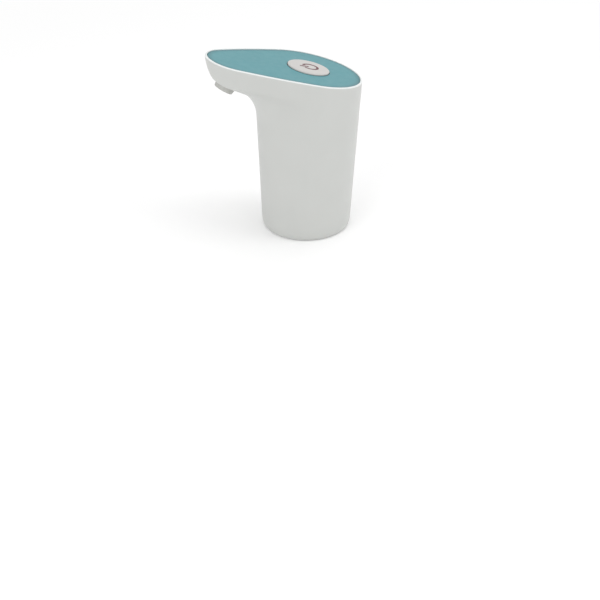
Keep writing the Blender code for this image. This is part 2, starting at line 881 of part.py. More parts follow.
def housing_boss(index, turn, root):
    """A screw boss with the web that ties it to the wall."""
    low = boss_foot()
    high = low + BOSS_HEIGHT
    place = Matrix.Rotation(turn, 4, "Z")
    post = revolved(bar_profile(BOSS_RADIUS, low, high), SMALL_STEPS)
    shift = moved(screw_circle(), 0, 0)
    boss = helper(post, f"boss_post_{index}", root, place @ shift)
    wall_middle = body_radius((low + high) / 2, -math.cos(turn)) - WALL / 2
    length = wall_middle - screw_circle()
    centre = (screw_circle() + length / 2, 0, (low + high) / 2)
    size = (length, BOSS_WEB, high - low - 2 * BOSS_WEB_INSET)
    web = helper(boxed(size, centre), f"boss_web_{index}", root, place)
    join(boss, web)
    return boss


def nozzle_place():
    """Placement whose Z runs out of the beak along the nozzle's axis, from the belly line."""
    belly = Vector((math.cos(BELLY_ANGLE), math.sin(BELLY_ANGLE)))
    point = chin_point(BELLY_ANGLE) - NOZZLE_SETBACK * belly
    out = Vector((-math.sin(NOZZLE_ANGLE), 0, -math.cos(NOZZLE_ANGLE)))
    side = Vector((0, 1, 0))
    turn = Matrix((side.cross(out), side, out)).transposed().to_4x4()
    return Matrix.Translation((-point.x, 0, point.y)) @ turn


def port_height():
    """Height of the charging socket's middle."""
    return charge_board_low() + CHARGE_BOARD_THICKNESS + SEAT_GAP + USB_HEIGHT / 2


def rounded_bar(width, height, corner, start, end, steps=TINY_STEPS):
    """A bar along X with a rounded section, centred on the axis."""
    corner = min(corner, height / 2, width / 2)
    quarter = max(steps // 4, 2)
    rings = []
    for reach in (start, end):
        ring = []
        for number in range(4):
            side = 1 if number in (0, 3) else -1
            top = 1 if number in (0, 1) else -1
            centre = (side * (width / 2 - corner), top * (height / 2 - corner))
            for step in range(quarter + 1):
                turn = math.pi / 2 * (number + step / quarter)
                y = centre[0] + corner * math.cos(turn)
                z = centre[1] + corner * math.sin(turn)
                ring.append(Vector((reach, y, z)))
        rings.append(ring)
    return lofted(rings, False)


def port_width():
    """Width of the rear port's opening in the wall."""
    return USB_WIDTH + 2 * (2 * SEAT_GAP + PORT_SLEEVE_WALL)


def port_opening():
    """Height of the rear port's opening in the wall."""
    return USB_HEIGHT + 2 * (2 * SEAT_GAP + PORT_SLEEVE_WALL)


def port_corner():
    """Corner radius of the rear port's opening."""
    return USB_CORNER_RADIUS + 2 * SEAT_GAP + PORT_SLEEVE_WALL


def housing_shell(root):
    """The one-piece housing with its ledge, bosses, nozzle hole and rear port."""
    shell = finish("housing_shell", lofted(housing_rings(), True), housing_white(), root)
    for index, turn in enumerate(SOCKET_SCREW_ANGLES):
        join(shell, housing_boss(index, turn, root))
    for index, (x, y) in enumerate(screw_centres()):
        low = boss_foot() - CUT_OVERRUN
        high = boss_foot() + SOCKET_SCREW_LENGTH
        hole = revolved(bar_profile(SOCKET_SCREW_RADIUS + SEAT_GAP, low, high), TINY_STEPS)
        cut(shell, helper(hole, f"boss_hole_{index}", root, moved(x, y, 0)))
    depth = COLLAR_DEPTH + COLLAR_FLANGE_THICKNESS
    profile = bar_profile(COLLAR_RADIUS + SEAT_GAP, -depth, COLLAR_PROJECTION + CUT_OVERRUN)
    cut(shell, helper(revolved(profile, ROUND_STEPS), "nozzle_hole", root, nozzle_place()))
    wall_start = rear_radius(port_height()) - WALL - CUT_OVERRUN
    wall_end = rear_radius(port_height()) + CUT_OVERRUN
    port = rounded_bar(port_width(), port_opening(), port_corner(), wall_start, wall_end)
    cut(shell, helper(port, "port_hole", root, moved(0, 0, port_height())))
    light = revolved(bar_profile(LIGHT_RADIUS + SEAT_GAP, 0, 2 * WALL + CUT_OVERRUN), SMALL_STEPS)
    cut(shell, helper(light, "light_hole", root, light_place()))
    return shell


# Top panel and button


def button_place():
    """Placement on the button's axis, with Z square to the rim's plane and zero at its crown."""
    return rim_place() @ moved(-BUTTON_SETBACK, 0, 0)


def panel_hook(index, at, along, parent):
    """A snap hook under the panel, at a point of the plane, running along a direction."""
    top = -(PANEL_RECESS + PANEL_THICKNESS) + JOIN_OVERLAP
    low = -(PANEL_RECESS + PANEL_THICKNESS) - HOOK_DROP
    back = HOOK_THICKNESS / 2
    catch = back + HOOK_CATCH
    section = [
        (back, top),
        (back, low),
        (-back, low),
        (-catch, low + HOOK_CATCH_HEIGHT / 2),
        (-catch, low + HOOK_CATCH_HEIGHT),
        (-back, low + HOOK_CATCH_HEIGHT),
        (-back, top),
    ]
    turn = Matrix.Rotation(math.atan2(along.y, along.x), 4, "Z")
    place = rim_place() @ Matrix.Translation((at.x, at.y, 0)) @ turn
    return helper(extruded(section, HOOK_WIDTH), f"hook_{index}", parent, place)


def top_panel(root):
    """The egg-shaped inlay panel with the button's hole and its snap hooks."""
    top = -PANEL_RECESS
    low = top - PANEL_THICKNESS
    rings = [
        egg_ring(0, low),
        egg_ring(0, top - PANEL_EDGE_RADIUS),
        egg_ring(-PANEL_EDGE_RADIUS, top),
    ]
    panel = finish("top_panel", lofted(rings, False), panel_teal(), root)
    inner = LEDGE_WIDTH + SEAT_GAP + HOOK_THICKNESS / 2
    tail = Vector((-EGG_SETBACK - TAIL_RADIUS + inner, 0))
    left = Vector((0, TAIL_RADIUS - inner - SEAT_GAP))
    right = Vector((0, -left.y))
    hooks = [(tail, Vector((0, -1))), (left, Vector((-1, 0))), (right, Vector((1, 0)))]
    for index, (at, along) in enumerate(hooks):
        join(panel, panel_hook(index, at, along, root))
    hole = revolved(
        bar_profile(BUTTON_RADIUS + BUTTON_CLEARANCE, low - CUT_OVERRUN, top + CUT_OVERRUN),
        FINE_STEPS,
    )
    cut(panel, helper(hole, "button_hole", root, button_place()))
    return panel


def button_profile():
    """Section of the hollow button cap, heights from the rim's crown."""
    top = BUTTON_PROUD
    roof = top - BUTTON_ROOF
    flange_top = -(PANEL_RECESS + PANEL_THICKNESS + SEAT_GAP)
    flange_low = flange_top - BUTTON_FLANGE_THICKNESS
    inner = BUTTON_RADIUS - BUTTON_SKIRT
    return [
        (0, plunger_end()),
        (PLUNGER_RADIUS, plunger_end()),
        (PLUNGER_RADIUS, roof),
        (inner, roof),
        (inner, flange_low),
        (BUTTON_RADIUS + BUTTON_FLANGE, flange_low),
        (BUTTON_RADIUS + BUTTON_FLANGE, flange_top),
        (BUTTON_RADIUS, flange_top),
        (BUTTON_RADIUS, top - BUTTON_EDGE_RADIUS),
        (BUTTON_RADIUS - BUTTON_EDGE_RADIUS, top),
        (0, top),
    ]


def switch_top():
    """Height of the switch body's top from the rim's crown."""
    return SEAT_GAP + SWITCH_HEIGHT - BOARD_DEPTH


def plunger_end():
    """Height of the plunger's end, just over the switch's stem."""
    return switch_top() + SWITCH_STEM_HEIGHT + SEAT_GAP


def button_group(root):
    """The button cap and the switch's stem, which travel together."""
    group = empty("button_axis", root, button_place())
    finish("button_cap", revolved(button_profile(), FINE_STEPS), button_silver(), group)
    foot = switch_top() - SWITCH_WELL_DEPTH + SEAT_GAP + button_travel()
    stem = revolved(
        bar_profile(SWITCH_STEM_RADIUS, foot, switch_top() + SWITCH_STEM_HEIGHT), SMALL_STEPS
    )
    finish("tact_switch_stem", stem, rubber(), group)


def button_travel():
    """Room that the button has under its flange and over its switch."""
    return SWITCH_STEM_HEIGHT / 3


# Control board


def board_outline(low, high):
    """The board as a rounded slab in the rim's frame."""
    middle = (BOARD_FRONT - BOARD_REAR) / 2
    length = BOARD_FRONT + BOARD_REAR
    rings = []
    for height in (low, high):
        ring = []
        for number in range(4):
            side = 1 if number in (0, 3) else -1
            top = 1 if number in (0, 1) else -1
            x = middle + side * (length / 2 - BOARD_CORNER_RADIUS)
            y = top * (BOARD_WIDTH / 2 - BOARD_CORNER_RADIUS)
            for step in range(4):
                turn = math.pi / 2 * (number + step / 3)
                reach = BOARD_CORNER_RADIUS * Vector((math.cos(turn), math.sin(turn), 0))
                ring.append(Vector((x, y, height)) + reach)
        rings.append(ring)
    return lofted(rings, False)


def spine_forward():
    """Place of the frame's spine along the rim's plane at the board's depth."""
    return -spine_middle() / math.cos(RIM_TILT)


def board_screw_places():
    """Placements of the board's screws in the rim's frame, over the frame's posts."""
    forward = spine_forward() - BOARD_DEPTH * math.tan(RIM_TILT)
    return [rim_place() @ moved(forward, side * BOARD_SCREW_SPAN / 2, 0) for side in (1, -1)]


def control_board(root):
    """The control board with its switch body, chip and screws."""
    top = -BOARD_DEPTH
    low = top - BOARD_THICKNESS
    board = finish("control_board", board_outline(low, top), board_green(), root, rim_place())
    well_low = switch_top() - SWITCH_WELL_DEPTH
    size = (SWITCH_SIDE, SWITCH_SIDE, SWITCH_HEIGHT)
    centre = (0, 0, switch_top() - SWITCH_HEIGHT / 2)
    body = finish("tact_switch_body", boxed(size, centre), black_plastic(), root, button_place())
    well = bar_profile(SWITCH_STEM_RADIUS + SEAT_GAP, well_low, switch_top() + CUT_OVERRUN)
    cut(body, helper(revolved(well, SMALL_STEPS), "switch_well", root, button_place()))
    chip_centre = (-CHIP_SETBACK, 0, top + SEAT_GAP + CHIP_HEIGHT / 2)
    chip = boxed((CHIP_LENGTH, CHIP_WIDTH, CHIP_HEIGHT), chip_centre)
    finish("control_chip", chip, black_plastic(), root, rim_place())
    for index, place in enumerate(board_screw_places()):
        hole = bar_profile(
            BOARD_SCREW_RADIUS + SEAT_GAP, low - CUT_OVERRUN, top + CUT_OVERRUN
        )
        cut(board, helper(revolved(hole, TINY_STEPS), f"board_hole_{index}", root, place))
        head = top + SEAT_GAP
        profile = [
            (0, head - BOARD_SCREW_LENGTH),
            (BOARD_SCREW_RADIUS, head - BOARD_SCREW_LENGTH),
            (BOARD_SCREW_RADIUS, head),
            (BOARD_SCREW_HEAD_RADIUS, head),
            (BOARD_SCREW_HEAD_RADIUS, head + BOARD_SCREW_HEAD_HEIGHT),
            (0, head + BOARD_SCREW_HEAD_HEIGHT),
        ]
        finish(f"board_screw_{index + 1}", revolved(profile, TINY_STEPS), steel(), root, place)


# Nozzle


def collar_profile():
    """Section of the nozzle collar, heights along the nozzle's axis from the housing's skin."""
    bore = NOZZLE_TUBE_RADIUS + SEAT_GAP
    face = COLLAR_PROJECTION
    inner_end = -COLLAR_DEPTH - COLLAR_FLANGE_THICKNESS
    groove_high = seal_middle() + SEAL_RING_RADIUS + SEAT_GAP
    groove_low = seal_middle() - SEAL_RING_RADIUS - SEAT_GAP
    groove = bore + SEAL_GROOVE_DEPTH
    face_radius = COLLAR_RADIUS - COLLAR_TAPER
    return [
        (bore, inner_end),
        (COLLAR_RADIUS + COLLAR_FLANGE, inner_end),
        (COLLAR_RADIUS + COLLAR_FLANGE, -COLLAR_DEPTH),
        (COLLAR_RADIUS, -COLLAR_DEPTH),
        (COLLAR_RADIUS, 0),
        (face_radius, face - COLLAR_EDGE_RADIUS),
        (face_radius - COLLAR_EDGE_RADIUS, face),
        (COLLAR_RECESS_RADIUS, face),
        (COLLAR_RECESS_RADIUS - COLLAR_TAPER, face - COLLAR_RECESS_DEPTH),
        (bore, face - COLLAR_RECESS_DEPTH),
        (bore, groove_high),
        (groove, groove_high),
        (groove, groove_low),
        (bore, groove_low),
    ]


def seal_middle():
    """Place of the nozzle's seal ring along its axis."""
    return -COLLAR_DEPTH / 2


def torus(major, minor, steps, sides, height=0):
    """A round sealing ring."""
    profile = []
    for side in range(sides):
        turn = 2 * math.pi * side / sides
        profile.append((major + minor * math.cos(turn), height + minor * math.sin(turn)))
    return revolved(profile, steps)


def nozzle_path():
    """Route of the steel tube from the nozzle's mouth up and back along the beak."""
    place = nozzle_place()
    mouth = place @ Vector((0, 0, COLLAR_PROJECTION - COLLAR_RECESS_DEPTH + SEAT_GAP))
    turn_point = place @ Vector((0, 0, -COLLAR_DEPTH - COLLAR_FLANGE_THICKNESS))
    inwards = math.pi / 2 - NOZZLE_ANGLE
    back = -RIM_TILT
    centre = turn_point + NOZZLE_BEND_RADIUS * Vector(
        (math.sin(inwards), 0, -math.cos(inwards))
    )
    bend = arc_points(
        centre, NOZZLE_BEND_RADIUS, inwards + math.pi / 2, back + math.pi / 2, ARC_STEPS
    )
    tail = bend[-1] + NOZZLE_TAIL_LENGTH * Vector((math.cos(back), 0, math.sin(back)))
    return [mouth, *bend, tail]


def nozzle(root):
    """The collar, its seal ring and the bent steel tube."""
    place = nozzle_place()
    finish("nozzle_collar", revolved(collar_profile(), ROUND_STEPS), collar_grey(), root, place)
    major = NOZZLE_TUBE_RADIUS + SEAT_GAP + SEAL_RING_RADIUS
    ring = torus(major, SEAL_RING_RADIUS, SMALL_STEPS, RING_SIDES, seal_middle())
    finish("nozzle_seal_ring", ring, rubber(), root, place)
    tube = swept_tube(nozzle_path(), NOZZLE_TUBE_RADIUS, NOZZLE_BORE_RADIUS, SMALL_STEPS)
    finish("nozzle_tube", tube, steel(), root)


# Bottle neck socket


def socket_top():
    """Height of the top of the cup's floor."""
    return SOCKET_DEPTH + SOCKET_FLOOR


def socket_radius():
    """Outer radius of the cup, inside the housing's foot."""
    return base_radius() - WALL - SOCKET_GAP


def gasket_inner():
    """Inner radius of the gasket."""
    return SOCKET_BORE_RADIUS - SEAT_GAP - GASKET_WIDTH


def screw_seat():
    """Depth of the socket screws' counterbores in the cup's floor."""
    return SOCKET_SCREW_HEAD_HEIGHT + SEAT_GAP


def neck_socket(root):
    """The cup that takes the bottle's neck, with a hole for the spigot and four screw seats."""
    hole = SPIGOT_RADIUS + SEAT_GAP
    profile = [
        (SOCKET_BORE_RADIUS + SOCKET_LEAD_IN, 0),
        (socket_radius() - SOCKET_EDGE, 0),
        (socket_radius(), SOCKET_EDGE),
        (socket_radius(), socket_top()),
        (hole, socket_top()),
        (hole, SOCKET_DEPTH),
        (SOCKET_BORE_RADIUS, SOCKET_DEPTH),
        (SOCKET_BORE_RADIUS, SOCKET_LEAD_IN),
    ]
    cup = finish("neck_socket", revolved(profile, FINE_STEPS), frame_plastic(), root)
    for index, (x, y) in enumerate(screw_centres()):
        place = moved(x, y, 0)
        low = SOCKET_DEPTH - CUT_OVERRUN
        shank = bar_profile(SOCKET_SCREW_RADIUS + SEAT_GAP, low, socket_top() + CUT_OVERRUN)
        seat = bar_profile(
            SOCKET_SCREW_HEAD_RADIUS + SEAT_GAP, low, SOCKET_DEPTH + screw_seat()
        )
        cut(cup, helper(revolved(shank, TINY_STEPS), f"socket_hole_{index}", root, place))
        cut(cup, helper(revolved(seat, SMALL_STEPS), f"socket_seat_{index}", root, place))
    return cup


def neck_gasket(root):
    """The flat ring that seals on the bottle's lip."""
    top = SOCKET_DEPTH - SEAT_GAP
    low = top - GASKET_THICKNESS
    outer = SOCKET_BORE_RADIUS - SEAT_GAP
    profile = [
        (gasket_inner(), low),
        (outer, low),
        (outer, top - GASKET_EDGE),
        (outer - GASKET_EDGE, top),
        (gasket_inner(), top),
    ]
    finish("neck_gasket", revolved(profile, FINE_STEPS), silicone(), root)


def socket_screws(root):
    """The four screws from the cup's floor through the frame into the housing's bosses."""
    head_top = SOCKET_DEPTH + SOCKET_SCREW_HEAD_HEIGHT
    profile = [
        (0, SOCKET_DEPTH),
        (SOCKET_SCREW_HEAD_RADIUS, SOCKET_DEPTH),
        (SOCKET_SCREW_HEAD_RADIUS, head_top),
        (SOCKET_SCREW_RADIUS, head_top),
        (SOCKET_SCREW_RADIUS, SOCKET_DEPTH + SOCKET_SCREW_LENGTH),
        (0, SOCKET_DEPTH + SOCKET_SCREW_LENGTH),
    ]
    for index, (x, y) in enumerate(screw_centres()):
        screw = revolved(profile, SMALL_STEPS)
        finish(f"socket_screw_{index + 1}", screw, steel(), root, moved(x, y, 0))


def barb_profile(start, direction):
    """Outer points of a hose barb that starts at a height and runs up or down."""
    points = []
    pitch = BARB_LENGTH / BARB_COUNT
    for number in range(BARB_COUNT):
        foot = start + direction * number * pitch
        points.append((BARB_STEM_RADIUS, foot))
        points.append((BARB_STEM_RADIUS + BARB_LIP, foot + direction * pitch / 4))
    points.append((BARB_STEM_RADIUS - BARB_LIP, start + direction * BARB_LENGTH))
    return points


def washer_low():
    """Height of the spigot washer's underside."""
    return socket_top() + SEAT_GAP


def spigot_flange_low():
    """Height of the underside of the spigot's flange."""
    return washer_low() + SPIGOT_WASHER_THICKNESS + SEAT_GAP


def spigot_barb_start():
    """Height at which the spigot's upper barb starts."""
    return spigot_flange_low() + SPIGOT_FLANGE_THICKNESS


def inlet_spigot(root):
    """The spigot whose lower barb takes a suction hose and whose upper barb feeds the pump."""
    flange = spigot_flange_low()
    lower_start = SPIGOT_DROP + BARB_LENGTH
    lower = barb_profile(lower_start, -1)[::-1]
    upper = barb_profile(spigot_barb_start(), 1)
    profile = [
        (SPIGOT_BORE_RADIUS, SPIGOT_DROP),
        *lower,
        (SPIGOT_RADIUS, lower_start),
        (SPIGOT_RADIUS, flange),
        (SPIGOT_FLANGE_RADIUS, flange),
        (SPIGOT_FLANGE_RADIUS, spigot_barb_start()),
        *upper,
        (SPIGOT_BORE_RADIUS, spigot_barb_start() + BARB_LENGTH),
    ]
    finish("inlet_spigot", revolved(profile, SMALL_STEPS), frame_plastic(), root)
    washer = ring_profile(
        SPIGOT_FLANGE_RADIUS,
        SPIGOT_RADIUS + SEAT_GAP,
        washer_low(),
        washer_low() + SPIGOT_WASHER_THICKNESS,
    )
    finish("spigot_washer", revolved(washer, SMALL_STEPS), rubber(), root)


# Diaphragm pump


def pump_x():
    """Place of the pump's axis, which puts its inlet port on the spigot's axis."""
    return -INLET_PORT_OFFSET


def pump_low():
    """Height of the head's underside, which puts its inlet barb just over the spigot's barb."""
    return spigot_barb_start() + 2 * BARB_LENGTH + BARB_GAP


def valve_plate_low():
    """Height of the valve plate's underside."""
    return pump_low() + HEAD_THICKNESS + SEAT_GAP


def diaphragm_low():
    """Height of the diaphragm's underside."""
    return valve_plate_low() + VALVE_PLATE_THICKNESS + SEAT_GAP


def case_low():
    """Height of the pump case's lower edge."""
    return diaphragm_low() + DIAPHRAGM_THICKNESS + SEAT_GAP


def case_top():
    """Height of the top of the pump case's roof, over the wheel."""
    return wheel_low() + WHEEL_THICKNESS + WHEEL_ROOF_GAP + CASE_ROOF


def motor_low():
    """Height of the motor's lower end."""
    return case_top() + SEAT_GAP


def cup_turns():
    """Directions of the diaphragm's cups round the pump's axis."""
    return [CUP_PHASE + 2 * math.pi * number / CUP_COUNT for number in range(CUP_COUNT)]


def pump_screw_centres():
    """Places of the pump's screws, between the cups, from the pump's axis."""
    turns = [turn + math.pi / CUP_COUNT for turn in cup_turns()]
    return [
        (PUMP_SCREW_CIRCLE * math.cos(turn), PUMP_SCREW_CIRCLE * math.sin(turn))
        for turn in turns
    ]


def pump_screw_holes(target, low, high, label, axis):
    """Cut the pump screws' holes from a piece of the pump."""
    for index, (x, y) in enumerate(pump_screw_centres()):
        profile = bar_profile(PUMP_SCREW_RADIUS + SEAT_GAP, low, high)
        tool = helper(revolved(profile, TINY_STEPS), f"{label}_{index}", axis, moved(x, y, 0))
        cut(target, tool)


def outlet_pipe_height():
    """Height of the middle of the head's outlet pipe."""
    return pump_low() + HEAD_THICKNESS - CHAMBER_DEPTH - OUTLET_PIPE_RADIUS - JOIN_OVERLAP


def outlet_barb_start():
    """Height at which the outlet's barb starts."""
    return outlet_pipe_height() + OUTLET_ELBOW_RADIUS


def outlet_pipe_path():
    """Route of the outlet pipe from under the head's middle forward and up, from the pump's axis."""
    reach = OUTLET_HOSE_OFFSET + pump_x()
    height = outlet_pipe_height()
    centre = Vector((-reach + OUTLET_ELBOW_RADIUS, 0, height + OUTLET_ELBOW_RADIUS))
    bend = arc_points(centre, OUTLET_ELBOW_RADIUS, -math.pi / 2, -math.pi, ARC_STEPS)
    return [Vector((PORT_BORE_RADIUS, 0, height)), *bend]


def outlet_barb_rings(path, steps):
    """Rings of the outlet pipe's outside, with its barb."""
    rings = swept_rings(path, OUTLET_PIPE_RADIUS, steps)
    end = path[-1]
    side = Vector((0, 1, 0))
    for radius, height in barb_profile(end.z, 1)[1:]:
        ring = []
        for step in range(steps):
            turn = 2 * math.pi * step / steps
            spread = math.cos(turn) * side - math.sin(turn) * Vector((1, 0, 0))
            ring.append(Vector((end.x, 0, height)) + radius * spread)
        rings.append(ring)
    return rings


def head_cover(axis):
    """The pump's head with its two chambers, inlet barb and outlet elbow."""
    low = pump_low()
    top = low + HEAD_THICKNESS
    chamber = top - CHAMBER_DEPTH
    profile = [
        (0, low),
        (PUMP_RADIUS, low),
        (PUMP_RADIUS, top),
        (INLET_CHAMBER_OUTER_RADIUS, top),
        (INLET_CHAMBER_OUTER_RADIUS, chamber),
        (INLET_CHAMBER_INNER_RADIUS, chamber),
        (INLET_CHAMBER_INNER_RADIUS, top),
        (OUTLET_CHAMBER_RADIUS, top),
        (OUTLET_CHAMBER_RADIUS, chamber),
        (0, chamber),
    ]
    head = finish("head_cover", revolved(profile, ROUND_STEPS), black_plastic(), axis)
    barb = [(0, low + JOIN_OVERLAP), (BARB_STEM_RADIUS, low + JOIN_OVERLAP)]
    barb += [*barb_profile(low, -1), (0, low - BARB_LENGTH)]
    inlet_place = moved(INLET_PORT_OFFSET, 0, 0)
    join(head, helper(revolved(barb, SMALL_STEPS), "inlet_barb", axis, inlet_place))
    path = outlet_pipe_path()
    join(head, helper(lofted(outlet_barb_rings(path, SMALL_STEPS), False), "outlet_pipe", axis))
    bore = bar_profile(PORT_BORE_RADIUS, low - BARB_LENGTH - CUT_OVERRUN, chamber + CUT_OVERRUN)
    cut(head, helper(revolved(bore, TINY_STEPS), "inlet_bore", axis, inlet_place))
    start = Vector((0, 0, outlet_pipe_height()))
    over = Vector((path[-1].x, 0, outlet_barb_start() + BARB_LENGTH + CUT_OVERRUN))
    channel = lofted(swept_rings([start, *path[1:], over], PORT_BORE_RADIUS, TINY_STEPS), False)
    cut(head, helper(channel, "outlet_bore", axis))
    drop = bar_profile(PORT_BORE_RADIUS - SEAT_GAP, outlet_pipe_height(), chamber + CUT_OVERRUN)
    cut(head, helper(revolved(drop, TINY_STEPS), "outlet_drop", axis))
    pump_screw_holes(head, low - CUT_OVERRUN, top + CUT_OVERRUN, "head_hole", axis)
    return head


def valve_plate(axis):
    """The plate with the valves' stems and ports."""
    low = valve_plate_low()
    top = low + VALVE_PLATE_THICKNESS
    plate = finish(
        "valve_plate", revolved(bar_profile(PUMP_RADIUS, low, top), ROUND_STEPS), frame_plastic(), axis
    )
    pump_screw_holes(plate, low - CUT_OVERRUN, top + CUT_OVERRUN, "plate_hole", axis)
    stem_hole = bar_profile(VALVE_STEM_RADIUS + SEAT_GAP, low - CUT_OVERRUN, top + CUT_OVERRUN)
    cut(plate, helper(revolved(stem_hole, TINY_STEPS), "outlet_stem_hole", axis))
    port = bar_profile(VALVE_PORT_RADIUS, low - CUT_OVERRUN, top + CUT_OVERRUN)
    outlet_reach = (OUTLET_VALVE_RADIUS + VALVE_STEM_RADIUS) / 2 + VALVE_PORT_RADIUS
    spread = VALVE_STEM_RADIUS + SEAT_GAP + 2 * VALVE_PORT_RADIUS
    for index, turn in enumerate(cup_turns()):
        out = Vector((math.cos(turn), math.sin(turn)))
        across = Vector((-out.y, out.x))
        middle = INLET_PORT_OFFSET * out
        place = moved(middle.x, middle.y, 0)
        cut(plate, helper(revolved(stem_hole, TINY_STEPS), f"inlet_stem_hole_{index}", axis, place))
        for side in (1, -1):
            at = middle + side * spread * across
            tool = revolved(port, TINY_STEPS)
            cut(plate, helper(tool, f"inlet_port_{index}_{side}", axis, moved(at.x, at.y, 0)))
        at = outlet_reach * out
        cut(plate, helper(revolved(port, TINY_STEPS), f"outlet_port_{index}", axis, moved(at.x, at.y, 0)))
    return plate


def valves(axis):
    """Three inlet valves over the plate and the outlet valve under it."""
    low = valve_plate_low()
    top = low + VALVE_PLATE_THICKNESS
    rest = top + SEAT_GAP
    inlet = [
        (0, low),
        (VALVE_STEM_RADIUS, low),
        (VALVE_STEM_RADIUS, rest),
        (VALVE_DISC_RADIUS, rest),
        (VALVE_DISC_RADIUS, rest + VALVE_DISC_THICKNESS / 2),
        (VALVE_STEM_RADIUS, rest + VALVE_DISC_THICKNESS),
        (0, rest + VALVE_DISC_THICKNESS),
    ]
    for index, turn in enumerate(cup_turns()):
        place = moved(INLET_PORT_OFFSET * math.cos(turn), INLET_PORT_OFFSET * math.sin(turn), 0)
        finish(f"inlet_valve_{index + 1}", revolved(inlet, SMALL_STEPS), silicone(), axis, place)
    hang = low - SEAT_GAP
    outlet = [
        (0, hang - VALVE_DISC_THICKNESS),
        (VALVE_STEM_RADIUS, hang - VALVE_DISC_THICKNESS),
        (OUTLET_VALVE_RADIUS, hang - VALVE_DISC_THICKNESS / 2),
        (OUTLET_VALVE_RADIUS, hang),
        (VALVE_STEM_RADIUS, hang),
        (VALVE_STEM_RADIUS, top),
        (0, top),
    ]
    finish("outlet_valve", revolved(outlet, SMALL_STEPS), silicone(), axis)


def diaphragm(axis):
    """The rubber sheet with three hollow cups, each with a stem that the wobble plate carries."""
    low = diaphragm_low()
    top = low + DIAPHRAGM_THICKNESS
    sheet_radius = PUMP_RADIUS - DIAPHRAGM_INSET
    sheet = finish(
        "diaphragm", revolved(bar_profile(sheet_radius, low, top), ROUND_STEPS), rubber(), axis
    )
    roof = top + CUP_HEIGHT
    inner = CUP_RADIUS - CUP_WALL
    for index, turn in enumerate(cup_turns()):
        place = moved(CUP_CIRCLE * math.cos(turn), CUP_CIRCLE * math.sin(turn), 0)
        cup = [
            (0, low + JOIN_OVERLAP),
            (CUP_RADIUS, low + JOIN_OVERLAP),
            (CUP_RADIUS, top + CUP_HEIGHT / 2),
            (CUP_RADIUS / 2, roof),
            (CUP_STEM_RADIUS, roof),
            (CUP_STEM_RADIUS, roof + CUP_STEM_LENGTH),
            (0, roof + CUP_STEM_LENGTH),
        ]
        join(sheet, helper(revolved(cup, SMALL_STEPS), f"cup_{index}", axis, place))
        room = [
            (0, low - CUT_OVERRUN),
            (inner, low - CUT_OVERRUN),
            (inner, top + CUP_HEIGHT / 2 - CUP_WALL),
            (inner / 2, roof - CUP_WALL),
            (0, roof - CUP_WALL),
        ]
        cut(sheet, helper(revolved(room, SMALL_STEPS), f"cup_room_{index}", axis, place))
    pump_screw_holes(sheet, low - CUT_OVERRUN, top + CUT_OVERRUN, "sheet_hole", axis)
    return sheet


def pump_case(axis):
    """The case round the wobble drive, open below, with bosses for the pump's screws."""
    low = case_low()
    top = case_top()
    inner = PUMP_RADIUS - CASE_WALL
    profile = [
        (inner, low),
        (PUMP_RADIUS, low),
        (PUMP_RADIUS, top),
        (CASE_HOLE_RADIUS, top),
        (CASE_HOLE_RADIUS, top - CASE_ROOF),
        (inner, top - CASE_ROOF),
    ]
    case = finish("pump_case", revolved(profile, ROUND_STEPS), black_plastic(), axis)
    for index, (x, y) in enumerate(pump_screw_centres()):
        boss = revolved(bar_profile(CASE_BOSS_RADIUS, low, low + CASE_BOSS_HEIGHT), SMALL_STEPS)
        join(case, helper(boss, f"case_boss_{index}", axis, moved(x, y, 0)))
    hole_top = low + CASE_BOSS_HEIGHT - CASE_WALL / 2
    pump_screw_holes(case, low - CUT_OVERRUN, hole_top, "case_hole", axis)
    return case


def pump_screws(axis):
    """The three screws that clamp the pump's stack together."""
    head_low = pump_low() - PUMP_SCREW_HEAD_HEIGHT - SEAT_GAP
    head_top = head_low + PUMP_SCREW_HEAD_HEIGHT
    profile = [
        (0, head_low),
        (PUMP_SCREW_HEAD_RADIUS, head_low),
        (PUMP_SCREW_HEAD_RADIUS, head_top),
        (PUMP_SCREW_RADIUS, head_top),
        (PUMP_SCREW_RADIUS, head_top + PUMP_SCREW_LENGTH),
        (0, head_top + PUMP_SCREW_LENGTH),
    ]
    for index, (x, y) in enumerate(pump_screw_centres()):
        screw = revolved(profile, TINY_STEPS)
        finish(f"pump_screw_{index + 1}", screw, steel(), axis, moved(x, y, 0))


# Wobble drive


def pivot_height():
    """Height of the point about which the wobble plate rocks."""
    return diaphragm_low() + DIAPHRAGM_THICKNESS + CUP_HEIGHT + WOBBLE_PIVOT_RISE


def wheel_low():
    """Height of the eccentric wheel's underside."""
    return pivot_height() + WOBBLE_HUB_HEIGHT + WHEEL_GAP


def pin_length():
    """Length of the inclined pin, from the plate's hub into the wheel."""
    reach = wheel_low() + PIN_ENGAGEMENT - pivot_height()
    return reach / math.cos(WOBBLE_ANGLE)


